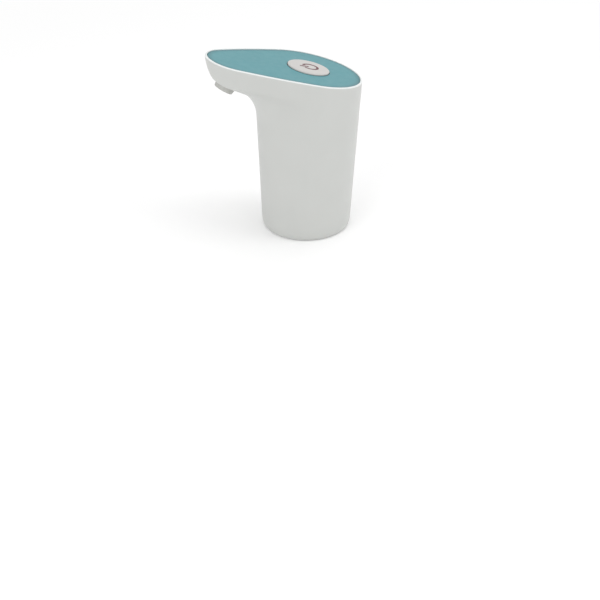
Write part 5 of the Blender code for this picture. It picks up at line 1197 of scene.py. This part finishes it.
@dataclass(frozen=True)
class ChargePort:
    """Charging socket, its rubber sleeve and the charge light in the rear wall."""

    skin: BodySkin
    height: float = 39.0 * MM
    wall: float = 2.5 * MM
    width: float = 8.9 * MM
    thickness: float = 3.2 * MM
    length: float = 7.3 * MM
    corner: float = 1.4 * MM
    metal: float = 0.35 * MM
    setback: float = 1.4 * MM
    sleeve_wall: float = 0.8 * MM
    gap: float = 0.3 * MM
    light_radius: float = 1.2 * MM
    light_offset: float = 9.6 * MM
    light_inset: float = 0.15 * MM
    light_dome: tuple[tuple[float, float], ...] = ((1, 0.35 * MM), (0.92, 0.12 * MM), (0.6, 0))
    lip: float = 0.3 * MM
    shell_edge: float = 0.06 * MM
    tongue_corner: float = 0.2 * MM
    tongue_setback: float = 0.9

    @property
    def middle(self) -> Matrix:
        """Placement at the height of the socket's middle."""
        return Matrix.Translation((0, 0, self.height))

    @property
    def face(self) -> float:
        """Reach of the housing's rear wall at the port."""
        return self.skin.radius(self.height, -1)

    def light_placement(self) -> Matrix:
        """Placement of the light, with Z outwards and zero two walls inside the surface.

        Returns:
            The placement.
        """
        start = math.sqrt(self.face**2 - self.light_offset**2) - 2 * self.wall
        turn = Matrix.Rotation(math.pi / 2, 4, "Y")
        return Matrix.Translation((start, self.light_offset, self.height)) @ turn

    def bar(self, grow: float, start: float, end: float) -> Work:
        """A bar of the socket's section, grown by a distance all round."""
        width, thickness = self.width + 2 * grow, self.thickness + 2 * grow
        return rounded_slab(width, thickness, self.corner + grow, start, end)

    def holes(self) -> list[Piece]:
        """Tools that cut the port and the light's hole in the wall.

        Returns:
            Both tools.
        """
        start = self.face - self.wall - BOOLEAN_OVERRUN
        port = self.bar(self.sleeve_wall + 2 * self.gap, start, self.face + BOOLEAN_OVERRUN)
        reach = 2 * self.wall + BOOLEAN_OVERRUN
        light = cylinder(self.light_radius + self.gap, 0, reach, Facets.SMALL)
        return [
            solid("port_hole", port, self.middle),
            solid("light_hole", light, self.light_placement()),
        ]

    def socket(self) -> Piece:
        """The drawn steel shell with its tongue.

        Returns:
            The new piece.
        """
        end = self.face - self.setback
        start = end - self.length
        shell = solid("charge_socket", self.bar(0, start, end), self.middle)
        mouth = solid(
            "charge_mouth",
            self.bar(-self.metal, start + self.setback, end + BOOLEAN_OVERRUN),
            self.middle,
        )
        combined(shell, [mouth], "DIFFERENCE")
        width = self.width - 2 * self.metal - self.thickness
        begin = start + self.setback / 2
        reach = end - self.tongue_setback * self.setback
        tongue = rounded_slab(width, 2 * self.metal, self.tongue_corner, begin, reach)
        combined(shell, [solid("charge_tongue", tongue, self.middle)], "UNION")
        softened(shell, self.shell_edge)
        return shell

    def sleeve(self) -> Piece:
        """The rubber sleeve between the socket and the wall, with a rounded mouth.

        Returns:
            The new piece.
        """
        start = self.face - self.wall - self.gap
        end = self.face - self.setback / 2
        outer, inner = self.sleeve_wall + self.gap, self.gap
        rings = []
        lip = self.lip
        sections = [(outer, start), (outer, end - lip), (outer - lip / 3, end - lip / 3)]
        sections += [(outer - lip, end), (inner + lip, end), (inner + lip / 3, end - lip / 3)]
        sections += [(inner, end - lip), (inner, start)]
        for grow, reach in sections:
            half = self.bar(grow, reach, reach + self.gap)
            half.verts.ensure_lookup_table()
            rings.append([vert.co.copy() for vert in half.verts[: len(half.verts) // 2]])
            half.free()
        return solid("charge_sleeve", lofted(rings, True), self.middle)

    def light(self) -> Piece:
        """The light pipe with a softly domed end.

        Returns:
            The new piece.
        """
        end = 2 * self.wall - self.light_inset
        radius = self.light_radius
        dome = [(share * radius, end - drop) for share, drop in self.light_dome]
        profile = [(0, self.wall / 2), (radius, self.wall / 2), *dome, (0, end)]
        return solid("charge_lamp", turned(profile, Facets.SMALL), self.light_placement())

    def build(self) -> None:
        """Make the socket, the sleeve and the light."""
        dressed(self.socket(), Slot.STEEL, "usb_socket")
        dressed(self.sleeve(), Slot.RUBBER, "usb_port_sleeve")
        dressed(self.light(), Slot.LIGHT, "charge_light_pipe")


@dataclass(frozen=True)
class ScrewCircle:
    """Where the four screws of the neck socket go up into the housing's bosses."""

    radius: float = 24.6 * MM
    degrees: tuple[float, ...] = (75, -75, 150, -150)

    @property
    def turns(self) -> list[float]:
        """Turns of the screws about the axis, in radians."""
        return [math.radians(turn) for turn in self.degrees]

    def facing(self, turn: float) -> Matrix:
        """Placement on a screw's axis, with X outwards."""
        return Matrix.Rotation(turn, 4, "Z") @ Matrix.Translation((self.radius, 0, 0))


@dataclass(frozen=True)
class HousingShell:
    """The one-piece moulding with its rim, ledge, inner wall and screw bosses."""

    skin: BodySkin
    collar: Collar
    port: ChargePort
    screws: ScrewCircle
    wall: float = 2.5 * MM
    foot_inset: float = 2.2 * MM
    foot_rise: float = 6.0 * MM
    panel_gap: float = 0.25 * MM
    ledge_rise: float = -2.6 * MM
    ledge_width: float = 2.2 * MM
    ledge_thickness: float = 1.8 * MM
    gusset: float = 2.5 * MM
    boss_radius: float = 3.2 * MM
    boss_foot: float = 34.8 * MM
    boss_height: float = 22.0 * MM
    boss_web: float = 1.6 * MM
    boss_edge: float = 0.4 * MM
    web_inset: float = 0.8 * MM
    boss_bore: float = 1.7 * MM
    boss_depth: float = 14.0 * MM
    rim_lip: float = 0.15 * MM
    rim_dip: float = 0.3
    edge_steps: int = 12
    body_steps: int = 12
    rim_steps: int = 6
    inner_steps: int = 26

    def body_rings(self) -> list[list[Vector]]:
        """Rings up the outside, from the foot to the rim's side.

        Returns:
            The rings, upwards.
        """
        skin = self.skin
        columns = range(len(skin.tops))
        rings = [[skin.body_point(c, 0, self.wall) for c in columns]]
        for rise, inset in quarter(self.edge_steps):
            height, inset = self.foot_rise * rise, self.foot_inset * inset
            rings.append([skin.body_point(c, height, inset) for c in columns])
        top = skin.profile[0].y
        for step in range(1, self.body_steps):
            height = self.foot_rise + (top - self.foot_rise) * step / self.body_steps
            rings.append([skin.body_point(c, height, 0) for c in columns])
        rings += [[skin.point(c, share) for c in columns] for share, _ in skin.shares]
        return rings

    def rim_rings(self) -> list[list[Vector]]:
        """Rings over the rim and along the ledge that carries the panel.

        Returns:
            The rings, from the outside inwards.
        """
        skin, gap = self.skin, self.panel_gap
        edge, outer, lip = skin.rim_edge, skin.rim_offset, self.rim_lip
        dip = self.rim_dip * lip
        under = self.ledge_rise - self.ledge_thickness
        section = [(outer - edge * inset, -edge * drop) for inset, drop in quarter(self.rim_steps)[1:]]
        section += [(outer - edge - lip, 0), (gap + 2 * lip, 0), (gap + lip, 0)]
        section += [(gap + dip, -dip), (gap, -lip), (gap, -2 * lip)]
        section += [(gap, self.ledge_rise), (-self.ledge_width, self.ledge_rise)]
        section.append((-self.ledge_width, under))
        return [skin.egg.ring(skin.rim, offset, rise) for offset, rise in section]

    def inner_rings(self) -> list[list[Vector]]:
        """Rings down the inside, an even wall under the surface.

        Returns:
            The rings, downwards.
        """
        skin, steps = self.skin, self.inner_steps
        columns = range(len(skin.tops))
        depth = self.ledge_thickness + self.gusset - self.ledge_rise
        tops = [skin.share_at_depth(c, depth) for c in columns]
        rings = []
        for step in range(steps, -1, -1):
            shares = [step / steps * top for top in tops]
            rings.append([skin.point(c, s) + self.wall * skin.inward(c, s) for c, s in enumerate(shares)])
        return rings

    def boss(self, number: int, turn: float) -> list[Piece]:
        """A screw boss and the web that ties it to the wall.

        Args:
            number: Number of the boss.
            turn: Its turn about the axis, in radians.

        Returns:
            Both solids.
        """
        low, high = self.boss_foot, self.boss_foot + self.boss_height
        place = self.screws.facing(turn)
        radius, edge = self.boss_radius, self.boss_edge
        bar = [(0, low), (radius, low), (radius, high - edge), (radius - edge, high), (0, high)]
        post = turned(bar, Facets.SMALL)
        reach = self.skin.radius((low + high) / 2, -math.cos(turn)) - self.wall / 2
        reach -= self.screws.radius
        web = rounded_slab(self.boss_web, self.boss_height - 2 * self.web_inset, self.boss_edge, 0, reach)
        lift = Matrix.Translation((0, 0, (low + high) / 2))
        return [solid(f"boss_{number}", post, place), solid(f"web_{number}", web, place @ lift)]

    def bore(self, number: int, turn: float) -> Piece:
        """Tool that cuts a boss's screw hole.

        Args:
            number: Number of the boss.
            turn: Its turn about the axis, in radians.

        Returns:
            The tool.
        """
        low, high = self.boss_foot - BOOLEAN_OVERRUN, self.boss_foot + self.boss_depth
        tool = cylinder(self.boss_bore, low, high, Facets.BORE)
        return solid(f"bore_{number}", tool, self.screws.facing(turn))

    def build(self) -> None:
        """Make the shell and cut its openings."""
        rings = self.body_rings() + self.rim_rings() + self.inner_rings()
        shell = solid("housing_moulding", lofted(rings, True))
        turns = list(enumerate(self.screws.turns))
        for number, turn in turns:
            combined(shell, self.boss(number, turn), "UNION")
        combined(shell, [self.bore(number, turn) for number, turn in turns], "DIFFERENCE")
        combined(shell, [self.collar.hole(), *self.port.holes()], "DIFFERENCE")
        dressed(shell, Slot.HOUSING, "housing_shell")


@dataclass(frozen=True)
class PowerButton:
    """The round button cap with its printed power symbol."""

    rim: RimPlane
    radius: float = 15.4 * MM
    setback: float = 1.6 * MM
    clearance: float = 0.35 * MM
    proud: float = 0.9 * MM
    roof: float = 1.6 * MM
    skirt: float = 1.1 * MM
    flange: float = 1.3 * MM
    flange_top: float = -2.6 * MM
    flange_thickness: float = 0.9 * MM
    edge_width: float = 1.6 * MM
    edge_drop: float = 0.45 * MM
    edge_blend: float = 1.5
    # The disc's thickness sets how much of the painted shade on the cap's side shows.
    disc_thickness: float = 1.15 * MM
    disc_inset: float = 0.05 * MM
    plunger_radius: float = 2.2 * MM
    plunger_end: float = -3.4 * MM
    ink_height: float = 0.03 * MM
    ring_radius: float = 5.3 * MM
    ring_setback: float = 1.3 * MM
    ring_gap: float = math.radians(34)
    mark_turn: float = math.radians(-4)
    stroke: float = 1.9 * MM
    bar_start: float = 2.0 * MM
    bar_end: float = 7.2 * MM
    easing: float = 0.15 * MM
    edge_steps: int = 6
    cap_steps: int = 8
    ring_steps: int = 72
    bar_steps: int = 4

    def placement(self) -> Matrix:
        """Placement on the button's axis, with X towards the beak."""
        return self.rim.placement(-self.setback)

    def cap_profile(self) -> list[tuple[float, float]]:
        """Section of the hollow cap, up to the disc that lies on it.

        Returns:
            Its (radius, height) points.
        """
        inner = self.radius - self.skirt
        low = self.flange_top - self.flange_thickness
        top = self.proud
        seat = top - self.disc_thickness
        hollow = [
            (0, self.plunger_end),
            (self.plunger_radius, self.plunger_end),
            (self.plunger_radius, top - self.roof),
            (inner, top - self.roof),
            (inner, low),
            (self.radius + self.flange, low),
            (self.radius + self.flange, self.flange_top),
            (self.radius, self.flange_top),
        ]
        return eased([*hollow, (self.radius, seat), (0, seat)], self.easing, steps=3)

    def disc_profile(self) -> list[tuple[float, float]]:
        """Section of the silver disc, with a rounded upper edge.

        Returns:
            Its (radius, height) points.
        """
        outer, top = self.radius - self.disc_inset, self.proud
        points = [(0, top - self.disc_thickness), (outer, top - self.disc_thickness)]
        for inset, drop in quarter(self.edge_steps):
            points.append((outer - self.edge_width * inset, top - self.edge_drop * drop))
        inside = outer - self.edge_blend * self.edge_width
        return [*points, (inside, top), (inside / 2, top), (0, top)]

    def stroke_outline(self, path: Sequence[Vector]) -> list[Vector]:
        """Outline of a stroke with round ends along a flat path.

        Args:
            path: Points of the stroke's middle line.

        Returns:
            The outline, in order.
        """
        left, right = [], []
        half = self.stroke / 2
        for here, point in enumerate(path):
            ahead = heading(path, here)
            side = Vector((-ahead.y, ahead.x))
            left.append(point + half * side)
            right.append(point - half * side)
        caps = []
        for point, before in ((path[-1], path[-2]), (path[0], path[1])):
            start = math.atan2(*reversed((point - before).normalized())) + math.pi / 2
            turns = [start - math.pi * step / self.cap_steps for step in range(1, self.cap_steps)]
            caps.append([point + half * along(turn) for turn in turns])
        return left + caps[0] + right[::-1] + caps[1]

    def mark(self) -> Work:
        """The symbol's broken ring and its bar, as thin ink.

        Returns:
            Both strokes in one mesh.
        """
        centre = Vector((-self.ring_setback, 0))
        ring = []
        for step in range(self.ring_steps + 1):
            turn = self.mark_turn + self.ring_gap
            turn += (2 * math.pi - 2 * self.ring_gap) * step / self.ring_steps
            ring.append(centre + self.ring_radius * along(turn))
        length, ahead = self.bar_end - self.bar_start, along(self.mark_turn)
        reaches = [self.bar_start + length * step / self.bar_steps for step in range(self.bar_steps + 1)]
        bar = [centre + reach * ahead for reach in reaches]
        work = bmesh.new()
        for path in (ring, bar):
            outline = self.stroke_outline(path)
            levels = (self.proud - self.ink_height, self.proud + self.ink_height)
            part = lofted([[Vector((p.x, p.y, z)) for p in outline] for z in levels], False)
            mesh = bpy.data.meshes.new("stroke")
            part.to_mesh(mesh)
            part.free()
            work.from_mesh(mesh)
            bpy.data.meshes.remove(mesh)
        return work

    def build(self) -> None:
        """Make the cap and its symbol."""
        place = self.placement()
        # The cap under the silver disc is black moulding as painted shade: its side shows as the dark
        # shadow line round the button.
        cap = solid("button_shade_body", turned(self.cap_profile(), Facets.LARGE), place)
        dressed(cap, Slot.BLACK, "button_cap", body=Body.BUTTON)
        disc = solid("button_disc", turned(self.disc_profile(), Facets.LARGE), place)
        dressed(disc, Slot.BUTTON, "button_cap", body=Body.BUTTON)
        symbol = solid("power_symbol", self.mark(), place)
        dressed(symbol, Slot.BUTTON, body=Body.BUTTON, finish=SYMBOL_INK)


@dataclass(frozen=True)
class TopPanel:
    """The egg-shaped panel with rounded edges, the button's hole and three snap hooks."""

    rim: RimPlane
    egg: EggOutline
    button: PowerButton
    recess: float = 0.3 * MM
    thickness: float = 2.0 * MM
    edge: float = 0.3 * MM
    hole_edge: float = 0.25 * MM
    edge_steps: int = 4
    # Width over which the painted shade along the panel's edge fades in.
    edge_shade_band: float = 3.6 * MM
    ledge_width: float = 2.2 * MM
    gap: float = 0.3 * MM
    hook_width: float = 6.0 * MM
    hook_thickness: float = 1.2 * MM
    hook_drop: float = 4.6 * MM
    hook_catch: float = 0.7 * MM
    hook_catch_height: float = 1.0 * MM
    hook_root: float = 0.5 * MM
    hook_easing: float = 0.15 * MM

    def hole_ring(self, offset: float, rise: float) -> list[Vector]:
        """Ring of the button's hole, one point for each point of the outline.

        Args:
            offset: Distance outwards from the hole's edge.
            rise: Height over the rim's plane.

        Returns:
            The ring.
        """
        middle = Vector((-self.button.setback, 0))
        radius = self.button.radius + self.button.clearance + offset
        ring = []
        for point in self.egg.points(0):
            place = middle + radius * (point - middle).normalized()
            ring.append(self.rim.point(place.x, place.y, rise))
        return ring

    def plate(self) -> Work:
        """The plate, lofted from the hole over the top and back under it.

        Returns:
            The closed solid, with the band of painted shade along its edge marked.
        """
        top = -self.recess
        low = top - self.thickness
        edge, lip = self.edge, self.hole_edge
        rings = [self.hole_ring(0, low), self.hole_ring(0, top - 2 * lip)]
        for spread, drop in quarter(self.edge_steps):
            rings.append(self.hole_ring(lip * spread, top - lip * drop))
        rings.append(self.hole_ring(2 * lip, top))
        rings.append(self.egg.ring(self.rim, -edge - self.edge_shade_band, top))
        inside = len(rings) * len(rings[0])
        rings.append(self.egg.ring(self.rim, -2 * edge, top))
        for drop, inset in quarter(self.edge_steps):
            rings.append(self.egg.ring(self.rim, -edge * inset, top - edge * drop))
        rings += [self.egg.ring(self.rim, 0, top - 2 * edge), self.egg.ring(self.rim, 0, low)]
        work = lofted(rings, True)
        # Vertices beyond the inner ring get the painted shade; it fades in across the first band of
        # quads.
        mark = work.verts.layers.float.new(EDGE_SHADE_MARK)
        for number, vert in enumerate(work.verts):
            vert[mark] = float(number >= inside)
        return work

    def hook(self, number: int, at: Vector, facing: Vector) -> Piece:
        """A snap hook under the plate.

        Args:
            number: Number of the hook.
            at: Its place in the rim's plane.
            facing: Direction of its width.

        Returns:
            The solid.
        """
        low = -(self.recess + self.thickness) - self.hook_drop
        top = -(self.recess + self.thickness) + self.hook_root
        back = self.hook_thickness / 2
        catch = back + self.hook_catch
        corners = [
            (back, top),
            (back, low),
            (-back, low),
            (-catch, low + self.hook_catch_height / 2),
            (-catch, low + self.hook_catch_height),
            (-back, low + self.hook_catch_height),
            (-back, top),
        ]
        section = eased([*corners, corners[0]], self.hook_easing, steps=2)[:-1]
        half = self.hook_width / 2
        rings = [[Vector((x, y, z)) for y, z in section] for x in (-half, half)]
        turn = Matrix.Rotation(math.atan2(facing.y, facing.x), 4, "Z")
        place = self.rim.placement() @ Matrix.Translation((at.x, at.y, 0)) @ turn
        return solid(f"hook_{number}", lofted(rings, False), place)

    def build(self) -> None:
        """Make the panel and its hooks."""
        panel = solid("panel_inlay", self.plate())
        inner = self.ledge_width + self.gap + self.hook_thickness / 2
        tail = Vector((-self.egg.setback - self.egg.tail_radius + inner, 0))
        left = Vector((0, self.egg.tail_radius - inner - self.gap))
        seats = ((tail, Vector((0, -1))), (left, Vector((-1, 0))), (-left, Vector((1, 0))))
        hooks = [self.hook(number, at, facing) for number, (at, facing) in enumerate(seats)]
        combined(panel, hooks, "UNION")
        dressed(panel, Slot.PANEL, "top_panel")


@dataclass(frozen=True)
class NeckSocket:
    """The cup under the pump, with its gasket, inlet spigot, washer and screws."""

    screws: ScrewCircle
    bore: float = 28.4 * MM
    depth: float = 29.9 * MM
    floor: float = 2.3 * MM
    radius: float = 30.6 * MM
    lead_in: float = 1.0 * MM
    gap: float = 0.3 * MM
    gasket_inner: float = 19.0 * MM
    gasket_thickness: float = 2.4 * MM
    gasket_chamfer: float = 0.6 * MM
    bead_count: int = 3
    bead_steps: int = 8
    bead_depth: float = 0.35 * MM
    bead_fullness: float = 0.6
    screw_radius: float = 1.4 * MM
    head_radius: float = 2.7 * MM
    head_height: float = 1.2 * MM
    screw_length: float = 14.0 * MM
    head_easing: float = 0.45 * MM
    cross_width: float = 0.75 * MM
    cross_height: float = 1.4 * MM
    cross_corner: float = 0.1 * MM
    cross_reach: float = 1.35 * MM
    cross_turn: float = math.radians(20)
    spigot_radius: float = 3.9 * MM
    spigot_bore: float = 2.0 * MM
    spigot_drop: float = 14.0 * MM
    flange_radius: float = 6.6 * MM
    flange_low: float = 34.0 * MM
    flange_thickness: float = 1.6 * MM
    washer_thickness: float = 1.2 * MM
    barb_length: float = 6.6 * MM
    barb_stem: float = 2.9 * MM
    barb_lip: float = 0.35 * MM
    barb_count: int = 2
    foot_chamfer: float = 0.5 * MM
    cup_easing: float = 0.4 * MM
    spigot_easing: float = 0.15 * MM
    washer_easing: float = 0.25 * MM

    @property
    def top(self) -> float:
        """Height of the top of the cup's floor."""
        return self.depth + self.floor

    def screw_placements(self) -> list[Matrix]:
        """Placements of the four screws.

        Returns:
            One placement for each screw.
        """
        radius = self.screws.radius
        spots = [(radius * math.cos(t), radius * math.sin(t), 0) for t in self.screws.turns]
        return [Matrix.Translation(spot) for spot in spots]

    def cup(self) -> Piece:
        """The cup with its spigot hole and screw seats.

        Returns:
            The new piece.
        """
        hole = self.spigot_radius + self.gap
        corners = [
            (hole, self.depth),
            (self.bore, self.depth),
            (self.bore, self.lead_in),
            (self.bore + self.lead_in, 0),
            (self.radius - self.foot_chamfer, 0),
            (self.radius, self.foot_chamfer),
            (self.radius, self.top),
            (hole, self.top),
        ]
        made = solid("neck_cup", turned(eased(corners, self.cup_easing), Facets.LARGE))
        low, high = self.depth - BOOLEAN_OVERRUN, self.top + BOOLEAN_OVERRUN
        seat = self.depth + self.head_height + self.gap
        tools = []
        for number, place in enumerate(self.screw_placements()):
            shank, head = self.screw_radius + self.gap, self.head_radius + self.gap
            through = cylinder(shank, low, high, Facets.SHANK)
            sunk = cylinder(head, low, seat, Facets.SMALL)
            tools += [solid(f"hole_{number}", through, place), solid(f"seat_{number}", sunk, place)]
        combined(made, tools, "DIFFERENCE")
        return made

    def gasket(self) -> Piece:
        """The sealing ring with three soft beads on its face.

        Returns:
            The new piece.
        """
        top = self.depth - self.gap
        low = top - self.gasket_thickness
        outer = self.bore - self.gap
        face = []
        steps = self.bead_steps * self.bead_count
        width, chamfer = outer - self.gasket_inner, self.gasket_chamfer
        for step in range(steps + 1):
            share = step / steps
            wave = abs(math.sin(math.pi * self.bead_count * share))
            dip = self.bead_depth * (1 - wave**self.bead_fullness)
            face.append((self.gasket_inner + width * share, low + dip))
        profile = [*face, (outer, top - chamfer), (outer - chamfer, top), (self.gasket_inner, top)]
        return solid("neck_seal", turned(profile, Facets.LARGE))

    def screw(self, number: int, place: Matrix) -> Piece:
        """A screw with a domed head and a cross recess, its thread hidden in the boss.

        Args:
            number: Number of the screw.
            place: Placement of the screw's axis.

        Returns:
            The new piece.
        """
        low = self.depth
        high = low + self.head_height
        end = low + self.screw_length
        corners = [(self.head_radius, low), (self.head_radius, high)]
        corners += [(self.screw_radius, high), (self.screw_radius, end)]
        profile = eased([(0, low), *corners, (0, end)], self.head_easing, steps=5)
        made = solid(f"neck_screw_{number}", turned(profile, Facets.SLENDER), place)
        for turn in (0, math.pi / 2):
            size = self.cross_width, self.cross_height, self.cross_corner
            slot = rounded_slab(*size, -self.cross_reach, self.cross_reach)
            tilt = Matrix.Rotation(turn + self.cross_turn * number, 4, "Z")
            tool = solid("cross", slot, place @ Matrix.Translation((0, 0, low)) @ tilt)
            combined(made, [tool], "DIFFERENCE")
        return made

    def barbs(self, start: float, direction: int) -> list[tuple[float, float]]:
        """Outer points of a hose barb that runs up or down from a height.

        Args:
            start: Height at which the barb starts.
            direction: 1 for a barb that runs up, -1 for one that runs down.

        Returns:
            Its (radius, height) points.
        """
        pitch = self.barb_length / self.barb_count
        points = []
        for number in range(self.barb_count):
            foot = start + direction * number * pitch
            points.append((self.barb_stem, foot))
            points.append((self.barb_stem + self.barb_lip, foot + direction * pitch / 4))
        points.append((self.barb_stem - self.barb_lip, start + direction * self.barb_length))
        return points

    def spigot(self) -> Piece:
        """The spigot with a barb at each end.

        Returns:
            The new piece.
        """
        lower = self.spigot_drop + self.barb_length
        upper = self.flange_low + self.flange_thickness
        corners = [
            (self.spigot_bore, self.spigot_drop),
            *self.barbs(lower, -1)[::-1],
            (self.spigot_radius, lower),
            (self.spigot_radius, self.flange_low),
            (self.flange_radius, self.flange_low),
            (self.flange_radius, upper),
            *self.barbs(upper, 1),
            (self.spigot_bore, upper + self.barb_length),
        ]
        profile = eased(corners, self.spigot_easing, steps=3)
        return solid("suction_spigot", turned(profile, Facets.MIDDLE))

    def washer(self) -> Piece:
        """The washer between the cup's floor and the spigot's flange.

        Returns:
            The new piece.
        """
        low = self.top + self.gap
        high = low + self.washer_thickness
        inner = self.spigot_radius + self.gap
        outer = self.flange_radius
        corners = [(inner, low), (outer, low), (outer, high), (inner, high), (inner, low)]
        profile = eased(corners, self.washer_easing)[:-1]
        return solid("spigot_seal", turned(profile, Facets.MIDDLE))

    def build(self) -> None:
        """Make the cup and what it carries."""
        dressed(self.cup(), Slot.FRAME, "neck_socket")
        dressed(self.gasket(), Slot.SILICONE, "neck_gasket")
        dressed(self.spigot(), Slot.FRAME, "inlet_spigot")
        dressed(self.washer(), Slot.RUBBER, "spigot_washer")
        for number, place in enumerate(self.screw_placements(), 1):
            dressed(self.screw(number, place), Slot.STEEL, f"socket_screw_{number}")


# Inner works


class InnerWorks:
    """The CAD nodes that stay: frame, boards, cell, motor, pump, hoses and wires."""

    def build(self) -> None:
        """Give every node the finish of its slot in the record."""
        for entry in frame["record"]["subparts"]:
            slot = Slot(entry["material_slot"])
            mesh = frame["nodes"][entry["node"]].data
            mesh.materials.clear()
            mesh.materials.append(finish_of(SLOT_FINISHES[slot]))
            log.info("%s is finished as %s", entry["node"], slot.value)


# Studio


@dataclass(frozen=True)
class SoftLamp:
    """A round area lamp that faces a point."""

    name: str
    place: Vector
    size: float
    watts: float
    aim: Vector = Vector((0, 0, 0.07))

    def build(self) -> None:
        """Hang the lamp."""
        data = bpy.data.lights.new(self.name, "AREA")
        data.shape = "DISK"
        data.size = self.size
        data.energy = self.watts
        lamp = placed(self.name, data)
        lamp.location = self.place
        lamp.rotation_euler = (self.aim - self.place).to_track_quat("-Z", "Y").to_euler()


@dataclass(frozen=True)
class Studio:
    """Camera, lamps, world and floor."""

    azimuth: float = math.radians(-21.46)
    pitch: float = math.radians(32.31)
    distance: float = 0.9726
    target_height: float = -0.0731
    shift_left: float = 4.6 * MM
    shift_up: float = 0.28 * MM
    lens: float = 72.57
    sensor: float = 36
    floor_radius: float = 4.0
    floor_facets: int = 96
    floor_drop: float = 0.2 * MM
    floor_roughness: float = 0.9
    floor_albedo: float = 0.86
    floor_glow: float = 0.18
    shadow_reach: float = 0.3
    fade_reach: float = 0.8
    ambient: float = 0.5
    lamps: tuple[SoftLamp, ...] = (
        SoftLamp("top_lamp", Vector((0.1, 0.1, 1.5)), size=1.6, watts=9.5),
        SoftLamp("left_lamp", Vector((-1.3, -0.9, 0.7)), size=1.2, watts=9.2),
        SoftLamp("right_lamp", Vector((1.3, -0.8, 0.7)), size=1.2, watts=8.0),
    )

    def camera(self) -> None:
        """Stand the camera where the photograph was taken from."""
        right = Vector((math.cos(self.azimuth), math.sin(self.azimuth), 0))
        level = Vector((-right.y, right.x, 0))
        look = level * math.cos(self.pitch) - Vector((0, 0, math.sin(self.pitch)))
        up = right.cross(look)
        target = housing_axis() @ Vector((0, 0, self.target_height))
        target += up * self.shift_up - right * self.shift_left
        data = bpy.data.cameras.new("camera")
        data.lens = self.lens
        data.sensor_width = self.sensor
        made = placed("camera", data)
        turn = Matrix((right, up, -look)).transposed().to_4x4()
        made.matrix_world = Matrix.Translation(target - look * self.distance) @ turn
        bpy.context.scene.camera = made

    def seen_rays(self, tree: NodeTree) -> Socket:
        """Socket that is 1 for camera, glossy and transmission rays.

        Args:
            tree: Nodes to add it to.

        Returns:
            The socket.
        """
        path = tree.add("ShaderNodeLightPath")
        total = path.outputs["Is Camera Ray"]
        for name in ("Is Glossy Ray", "Is Transmission Ray"):
            step = tree.add("ShaderNodeMath", operation="MAXIMUM")
            tree.link(total, step.inputs[0])
            tree.link(path.outputs[name], step.inputs[1])
            total = step.outputs[0]
        return total

    def world(self) -> None:
        """White where it is seen, dimmer as ambient light."""
        world = bpy.data.worlds.new("studio")
        tree = NodeTree(world)
        back = tree.tree.nodes["Background"]
        tree.adjust(back, Color=WHITE)
        level = tree.add("ShaderNodeMapRange", To_Min=self.ambient, To_Max=1)
        tree.link(self.seen_rays(tree), level.inputs["Value"])
        tree.link(level.outputs["Result"], back.inputs["Strength"])
        bpy.context.scene.world = world

    def floor_paint(self) -> Material:
        """Pale paint round the pump that turns to plain white farther away.

        Returns:
            The new material.
        """
        tree = ShaderTree("floor_paint")
        shader, seen = tree.shader, self.seen_rays(tree)
        tree.adjust(shader, Base_Color=(*(self.floor_albedo,) * 3, 1), Roughness=self.floor_roughness)
        tree.adjust(shader, Specular_IOR_Level=0, Emission_Color=WHITE)
        glow = tree.add("ShaderNodeMapRange", To_Max=self.floor_glow)
        tree.link(seen, glow.inputs["Value"])
        tree.link(glow.outputs["Result"], shader.inputs["Emission Strength"])
        reach = tree.add("ShaderNodeVectorMath", operation="LENGTH")
        tree.link(tree.place, reach.inputs[0])
        fade = tree.add("ShaderNodeMapRange", interpolation_type="SMOOTHSTEP")
        tree.adjust(fade, From_Min=self.shadow_reach, From_Max=self.fade_reach)
        tree.link(reach.outputs["Value"], fade.inputs["Value"])
        tree.link(seen, fade.inputs["To Max"])
        white = tree.add("ShaderNodeEmission", Color=WHITE)
        both = tree.add("ShaderNodeMixShader")
        tree.link(fade.outputs["Result"], both.inputs["Fac"])
        tree.link(shader.outputs["BSDF"], both.inputs[1])
        tree.link(white.outputs["Emission"], both.inputs[2])
        tree.link(both.outputs["Shader"], tree.tree.nodes["Material Output"].inputs["Surface"])
        return tree.material

    def floor(self) -> None:
        """A pale floor that keeps the soft shadow."""
        work = bmesh.new()
        facets, radius = self.floor_facets, self.floor_radius
        bmesh.ops.create_circle(work, cap_ends=True, segments=facets, radius=radius)
        mesh = bpy.data.meshes.new("floor")
        work.to_mesh(mesh)
        work.free()
        made = placed("floor", mesh)
        made.location.z = -self.floor_drop
        made.data.materials.append(self.floor_paint())

    def build(self) -> None:
        """Set up the studio."""
        bpy.context.scene.view_settings.view_transform = "Standard"
        self.camera()
        self.world()
        self.floor()
        for lamp in self.lamps:
            lamp.build()


def main() -> None:
    """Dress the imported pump, piece by piece."""
    logging.basicConfig(level=logging.INFO, format="%(name)s: %(message)s")
    Studio().build()
    skin, screws = BodySkin(), ScrewCircle()
    InnerWorks().build()
    collar = Collar(skin)
    port = ChargePort(skin)
    HousingShell(skin, collar, port, screws).build()
    collar.build()
    port.build()
    button = PowerButton(skin.rim)
    button.build()
    TopPanel(skin.rim, skin.egg, button).build()
    NeckSocket(screws).build()


if __name__ == "__main__":
    main()
